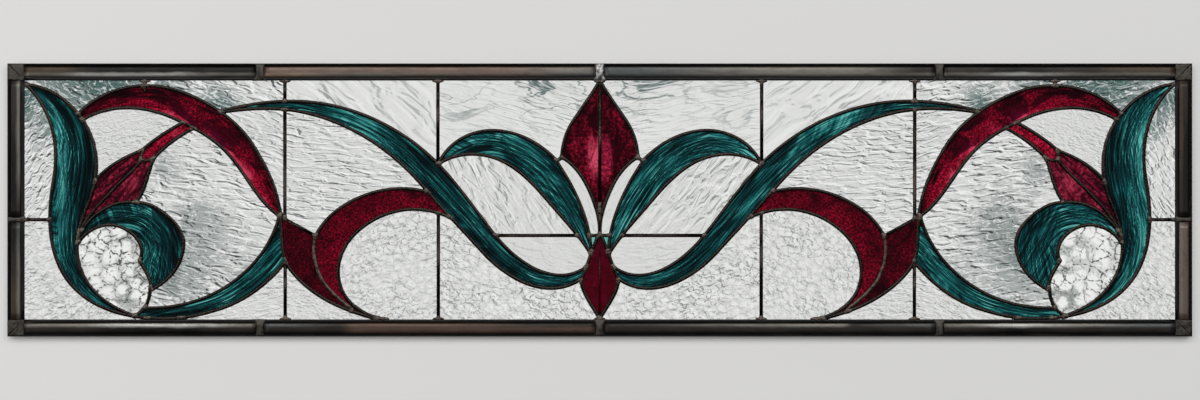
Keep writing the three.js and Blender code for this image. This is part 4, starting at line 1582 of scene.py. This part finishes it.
@dataclass
class BorderBar:
    """One side of the border came, with its crowned lengths, solder blocks and mitred pads."""

    edge: Edge
    blocks: list[tuple[float, float]]
    looks: list[bpy.types.Material]
    crown_start: float = 3.1
    crown_end: float = 12.4
    crown_depth: float = 3.98
    corner_depth: float = 3.25
    crown_foot: float = 2.0
    crown_base: float = 2.9
    block_foot: float = 1.9
    block_lap: float = 0.4
    mitre_gap: float = 0.1
    pad_gap: float = 0.03

    def build(
        self, channel: bpy.types.Material, solder: bpy.types.Material, silver: bpy.types.Material
    ) -> bpy.types.Object:
        """Builds the bar.

        Args:
            channel: the finish of the flat came under the crown.
            solder: the finish of the pads and blocks.
            silver: the finish of the one bright block, at the middle of the head.

        Returns:
            The bar's object.
        """
        bm = bmesh.new()
        self.channel(bm)
        marks = [-self.edge.half_length + BAR_WIDTH]
        for centre, width in self.blocks:
            half = width / 2 - self.block_lap
            marks += [centre - half, centre + half]
        marks.append(self.edge.half_length - BAR_WIDTH)
        for i in range(0, len(marks), 2):
            self.crown(bm, marks[i], marks[i + 1], 3 + i // 2)
        for centre, width in self.blocks:
            self.block(bm, centre, width, 2 if self.edge is Edge.TOP and centre == 0 else 1)
        for sense in (-1, 1):
            self.pad(bm, sense)
        self.mark(bm)
        piece = new_object(f"{self.edge.value}_came", bm, [channel, solder, silver, *self.looks])
        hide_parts(self.edge.value)
        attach(piece, "root")
        return piece

    def rings(self, front: list[Point], start: float, end: float, mitre: float, step: float, waver: float) -> list:
        """Lists the stations of a straight run.

        Args:
            front: (inward, depth) outline of the front.
            start, end: where it runs along the side.
            mitre: 1 where both ends are mitred, 0 where they are square.
            step: distance between stations.
            waver: how far the metal strays, in mm.

        Returns:
            A list of rings of points in metres.
        """
        section = both_faces(front)
        count = max(2, round((end - start) / step) + 1)
        out = []
        for i in range(count):
            t = i / (count - 1)
            ring = []
            for v, d in section:
                along = (start + mitre * v) * (1 - t) + (end - mitre * v) * t
                stray = noise.noise(Vector((along / 21, v / 5, 7.0 + self.edge.half_length / 100)))
                reach = waver if 1.5 < v < 14 else 0
                ring.append(self.edge.place(along, v + stray * reach, d))
            out.append(ring)
        return out

    def channel(self, bm: bmesh.types.BMesh) -> None:
        """Builds the flat came that carries everything else."""
        front = [(0, 2.6), (0.25, 2.95), (0.85, 3.0), (1.2, 2.8), (1.4, 2.2), (12.9, 2.2), (13.3, 2.5)]
        front += [(13.9, 2.62), (15.2, 2.6), (15.75, 2.4), (15.9, 2.0)]
        half = self.edge.half_length - self.mitre_gap
        loft(bm, self.rings(front, -half, half, 1, 14, 0.0), 0)

    def crown(self, bm: bmesh.types.BMesh, start: float, end: float, material: int) -> None:
        """Builds one length of the raised face."""
        low, high = self.crown_start, self.crown_end
        middle, half = (low + high) / 2, (high - low) / 2
        front = [(low, self.crown_foot)]
        for i in range(13):
            u = -1 + i / 6
            rise = (self.crown_depth - self.crown_base) * (1 - abs(u) ** 3.2) ** 0.55
            front.append((middle + half * math.copysign(abs(u) ** 0.9, u), self.crown_base + rise))
        front.append((high, self.crown_foot))
        loft(bm, self.rings(front, start, end, 0, 6, 0.12), material)

    def block(self, bm: bmesh.types.BMesh, centre: float, width: float, material: int) -> None:
        """Builds the waisted solder across the bar at one block."""
        stations = [(0.15, 1.12, 2.9), (0.8, 1.1, 3.3), (2.5, 1.0, 3.6), (5.5, 0.94, 3.75), (9, 0.94, 3.75)]
        stations += [(12, 1.02, 3.6), (13.6, 1.2, 3.3), (14.8, 1.42, 3.05), (15.7, 1.5, 2.85), (16.1, 1.44, 2.5)]
        rings = []
        for v, scale, depth in stations:
            ring = []
            half = width / 2 * scale
            for sign, k in round_trip(9):
                u = -1 + k / 4
                lump = 0.12 * noise.noise(Vector((centre + u * 2.1, v / 2.4, sign * 3.0)))
                rise = (1 - abs(u) ** 4) ** 0.5
                lift = self.block_foot + (depth - self.block_foot) * rise + lump * rise
                ring.append(self.edge.place(centre + half * u, v, sign * lift))
            rings.append(ring)
        loft(bm, rings, material)

    def pad(self, bm: bmesh.types.BMesh, sense: int) -> None:
        """Builds the flat solder over one mitre's half."""
        outer = self.edge.half_length - self.pad_gap
        face = self.edge.half_length - BAR_WIDTH + 0.25
        rings = []
        for i in range(9):
            v = 0.15 + (BAR_WIDTH - 0.75) * i / 8
            reach = outer - v
            ring = []
            for sign, k in round_trip(9):
                u = k / 8
                rim = max(0.0, min(1.0, min(u * (reach - face), (1 - u) * (reach - face) * 1.4, v) / 0.7))
                lump = 0.1 * noise.noise(Vector((sense * 9 + u * 2.5, v / 5, sign * 4.0)))
                depth = self.corner_depth - 0.07 * (1 - rim) ** 2 + lump * rim
                ring.append(self.edge.place(sense * (face + (reach - face) * u), v, sign * depth))
            rings.append(ring)
        loft(bm, rings, 1)

    def mark(self, bm: bmesh.types.BMesh) -> None:
        """Marks each point with its place along and across the bar."""
        layer = bm.verts.layers.float_vector.new("bar")
        for vert in bm.verts:
            x, z = vert.co.x / MM, vert.co.z / MM
            if self.edge in (Edge.TOP, Edge.BOTTOM):
                along = x
                inward = PANEL_HEIGHT - z if self.edge is Edge.TOP else z
            else:
                along = z - PANEL_HEIGHT / 2
                inward = PANEL_WIDTH / 2 - abs(x)
            vert[layer] = Vector((along / MARK_UNIT, inward / BAR_WIDTH, 0))


# --------------------------------------------------------------------------------------
# Stage
# --------------------------------------------------------------------------------------


@dataclass
class Studio:
    """The pale wall close behind the panel, the soft lights and the camera."""

    wall_gap: float = 3.0
    wall_tone: Colour = linear(214, 214, 213)
    daylight: float = 0.98
    wall_glow: float = 0.2
    camera_distance: float = 2.6
    view_width: float = 1.1155
    centre: Point = (0.0002, 0.127)
    film: float = 36.0
    unlit: bpy.types.Collection | None = None

    def build(self, panes: list[bpy.types.Object]) -> None:
        """Builds the whole stage.

        Args:
            panes: the glass, which the daylight behind it lights and the lamps don't.
        """
        self.unlit = bpy.data.collections.new("daylit_glass")
        for pane in panes:
            self.unlit.objects.link(pane)
        for entry in self.unlit.collection_objects:
            entry.light_linking.link_state = "EXCLUDE"
        self.wall()
        self.lights()
        self.world()
        self.camera()

    def wall(self) -> None:
        """Builds the wall, which shows bright through the glass and vanishes from behind."""
        bm = bmesh.new()
        made = bmesh.ops.create_grid(bm, x_segments=12, y_segments=8, size=1.0)["verts"]
        turn = Matrix.Rotation(math.radians(90), 4, "X")
        size = Matrix.Diagonal((1.0, 0.6, 1.0, 1.0))
        bmesh.ops.transform(bm, matrix=turn @ size, verts=made)
        bmesh.ops.translate(bm, vec=(0, (PANEL_HALF_DEPTH + self.wall_gap) * MM, MIDDLE_HEIGHT), verts=made)
        material = bpy.data.materials.new("studio_wall")
        material.use_nodes = True
        g = Graph(material.node_tree)
        shader = material.node_tree.nodes["Principled BSDF"]
        for key in ("Base Color", "Emission Color"):
            shader.inputs[key].default_value = (*self.wall_tone, 1)
        for key, value in (("Roughness", 0.9), ("Specular IOR Level", 0.0), ("Emission Strength", self.wall_glow)):
            shader.inputs[key].default_value = value
        glow = g.add("ShaderNodeEmission", {"Color": (1, 1, 1, 1), "Strength": self.daylight})
        clear = g.add("ShaderNodeBsdfTransparent")
        path = g.add("ShaderNodeLightPath").outputs
        behind = g.add("ShaderNodeNewGeometry").outputs
        lit = g.add("ShaderNodeMixShader", {0: path["Is Transmission Ray"], 1: shader.outputs[0], 2: glow.outputs[0]})
        seen = g.add("ShaderNodeMixShader", {0: behind["Backfacing"], 1: lit.outputs[0], 2: clear.outputs[0]})
        g.feed(material.node_tree.nodes["Material Output"].inputs["Surface"], seen.outputs[0])
        wall = new_object("studio_wall", bm, [material])

    def lights(self) -> None:
        """Places the soft lights: a large one high in front, one at each side and a strip above for the metal."""
        self.area("key", (0.0, -6.3, 2.7), 9.0, 4.0, 402, (1.0, 0.998, 0.998))
        self.area("fill", (2.6, -2.2, 1.2), 0.9, 1.6, 6, (1.0, 0.98, 0.95))
        self.area("side", (-2.4, -1.5, 0.3), 0.3, 1.8, 14, (1.0, 0.93, 0.86))
        self.area("rim", (0.0, -1.0, 2.3), 3.0, 0.25, 13, (1.0, 0.92, 0.85)).visible_diffuse = False

    def area(self, name: str, place: tuple, width: float, height: float, power: float, tint: tuple) -> bpy.types.Object:
        """Adds one area light that faces the panel."""
        data = bpy.data.lights.new(name, "AREA")
        data.shape = "RECTANGLE"
        data.size, data.size_y = width, height
        data.energy = power
        data.color = tint
        lamp = bpy.data.objects.new(name, data)
        aim = Vector((0, 0, MIDDLE_HEIGHT)) - Vector(place)
        lamp.location = place
        lamp.rotation_euler = aim.to_track_quat("-Z", "Y").to_euler()
        lamp.light_linking.receiver_collection = self.unlit
        bpy.context.scene.collection.objects.link(lamp)
        return lamp

    def world(self) -> None:
        """Surrounds the panel with pale grey that reflects only faintly."""
        world = bpy.data.worlds.new("pale_surround")
        world.use_nodes = True
        g = Graph(world.node_tree)
        background = world.node_tree.nodes["Background"]
        path = g.add("ShaderNodeLightPath").outputs
        mirrored_ray = g.minus(path["Is Glossy Ray"], path["Is Transmission Ray"], clamp=True)
        bounce = g.math("MAXIMUM", mirrored_ray, path["Is Diffuse Ray"])
        g.feed(background.inputs["Color"], g.blend(bounce, linear(220, 220, 219), linear(80, 81, 82)))
        bpy.context.scene.world = world

    def camera(self) -> None:
        """Places the camera square to the panel."""
        data = bpy.data.cameras.new("view")
        data.sensor_width = self.film
        data.lens = self.film * (self.camera_distance - PANEL_HALF_DEPTH * MM) / self.view_width
        eye = bpy.data.objects.new("view", data)
        eye.location = (self.centre[0], -self.camera_distance, self.centre[1])
        eye.rotation_euler = (math.radians(90), 0, 0)
        bpy.context.scene.collection.objects.link(eye)
        bpy.context.scene.camera = eye


# --------------------------------------------------------------------------------------
# Assembly
# --------------------------------------------------------------------------------------


@dataclass
class Window:
    """The whole panel."""

    effects: Effects = field(default_factory=Effects)
    count: int = 0
    panes: list[bpy.types.Object] = field(default_factory=list)

    def report(self, piece: bpy.types.Object) -> None:
        """Logs one finished piece."""
        self.count += 1
        LOG.info("%s: %d points, %d faces", piece.name, len(piece.data.vertices), len(piece.data.polygons))

    def glaze(self, leading: Leading) -> None:
        """Builds every pane.

        Args:
            leading: the fitted cames.
        """
        cutter = PaneCutter()
        cutter.cut(leading.lines)
        teal = TealGlass(self.effects).build()
        ruby: dict[str, bpy.types.Material] = {}
        for side in Side:
            for spec in PANES:
                seed = (spec.at[0] * side.value, spec.at[1])
                if spec.glass is Glass.TEAL:
                    material = teal
                elif spec.glass is Glass.RUBY:
                    key = {"bud_low": "bud", "bud_stalk": "stalk", "hook": "plain"}.get(spec.name, spec.name)
                    if key not in ruby:
                        ruby[key] = RubyGlass(self.effects).build(f"ruby_{key}_glass", RUBY_LOOKS[key])
                    material = ruby[key]
                else:
                    name = f"clear_{spec.name}_{side.name.lower()}"
                    material = ClearGlass(self.effects).build(name, CLEAR_LOOKS[spec.name], side)
                outline = cutter.outline(seed)
                self.panes.append(GlassPane(spec, side, outline).build(leading, material))
                self.report(self.panes[-1])

    def frame_up(self) -> None:
        """Builds the four sides of the border."""
        solder = SolderMetal(self.effects).build("border_solder", linear(46, 43, 39), linear(72, 68, 63), 0.42)
        silver = SolderMetal(self.effects).build("bright_solder", linear(88, 88, 87), linear(176, 176, 174), 0.32)
        looks = {key: BarMetal(self.effects).build(f"border_{key}", look) for key, look in BAR_LOOKS.items()}
        for edge, (blocks, names) in BARS.items():
            bar = BorderBar(edge, blocks, [looks[n] for n in names])
            self.report(bar.build(looks["channel"], solder, silver))

    def build(self) -> None:
        """Builds the panel and its stage."""
        leading = Leading().fit(Cartoon().draw())
        LOG.info("%d cames, %d joints", len(leading.lines), len(leading.joints))
        self.glaze(leading)
        came = CameMetal(self.effects).build()
        solder = SolderMetal(self.effects).build("joint_solder", linear(46, 41, 37), linear(92, 83, 75), 0.36)
        self.report(CameLattice().build(leading, came, solder))
        self.frame_up()
        Studio().build(self.panes)
        LOG.info("%d pieces", self.count)


BLACK, SOOT, BRONZE, UMBER, TAUPE, SLATE, STEEL, TAN, PEWTER = Tone
# Each key's second tone colours the highlight band painted along the face.
BAR_LOOKS: dict[str, list[BarKey]] = {
    "channel": [(0, BLACK, SOOT)],
    "top_far_left": [(-515, BRONZE, STEEL), (-465, BLACK, PEWTER), (-400, BLACK, PEWTER), (-350, BLACK, STEEL)],
    "top_left": [(-300, TAUPE, TAN), (-225, TAUPE, STEEL), (-90, TAUPE, TAUPE), (-20, STEEL, SLATE)],
    "top_right": [(30, SLATE, SLATE), (165, STEEL, STEEL), (230, STEEL, STEEL), (300, SOOT, STEEL)],
    "top_far_right": [(335, SOOT, STEEL), (392, BLACK, PEWTER), (448, SOOT, STEEL), (504, BRONZE, STEEL)],
    "bottom_far_left": [
        (-520, SOOT, STEEL), (-485, SOOT, STEEL), (-437, BLACK, PEWTER),
        (-390, BLACK, PEWTER), (-330, SOOT, STEEL),
    ],
    "bottom_left": [
        (-300, SOOT, SLATE), (-243, SOOT, SOOT), (-228, UMBER, UMBER),
        (-135, UMBER, UMBER), (-60, UMBER, SOOT),
    ],
    "bottom_right": [(25, SOOT, SOOT), (205, SOOT, STEEL), (224, SOOT, STEEL), (236, SOOT, SOOT), (300, SOOT, SLATE)],
    "bottom_far_right": [(335, SOOT, STEEL), (392, BLACK, PEWTER), (448, SOOT, STEEL), (504, SOOT, SLATE)],
    "left_high": [(-15, BLACK, SOOT), (35, BLACK, STEEL), (95, SOOT, STEEL)],
    "left_low": [(-90, BRONZE, STEEL), (-62, SOOT, STEEL), (-30, BLACK, SLATE)],
    "right_high": [(-15, BLACK, SOOT), (62, BLACK, BRONZE), (95, SOOT, BRONZE)],
    "right_low": [(-90, TAUPE, STEEL), (-30, TAUPE, STEEL)],
}

BARS: dict[Edge, tuple[list[tuple[float, float]], list[str]]] = {
    Edge.TOP: ([(-316, 9.2), (0, 9.2), (316, 9.2)], ["top_far_left", "top_left", "top_right", "top_far_right"]),
    Edge.BOTTOM: (
        [(-316, 8.6), (0, 9.2), (316, 8.6)],
        ["bottom_far_left", "bottom_left", "bottom_right", "bottom_far_right"],
    ),
    Edge.LEFT: ([(-18.3, 5.6)], ["left_low", "left_high"]),
    Edge.RIGHT: ([(-18.3, 5.6)], ["right_low", "right_high"]),
}


def main() -> None:
    """Builds the scene."""
    bpy.context.scene.view_settings.view_transform = "Standard"
    for spare in [o for o in bpy.data.objects if o.name in ("Cube", "Light", "Camera")]:
        bpy.data.objects.remove(spare)
    Window().build()


if __name__ == "__main__":
    main()
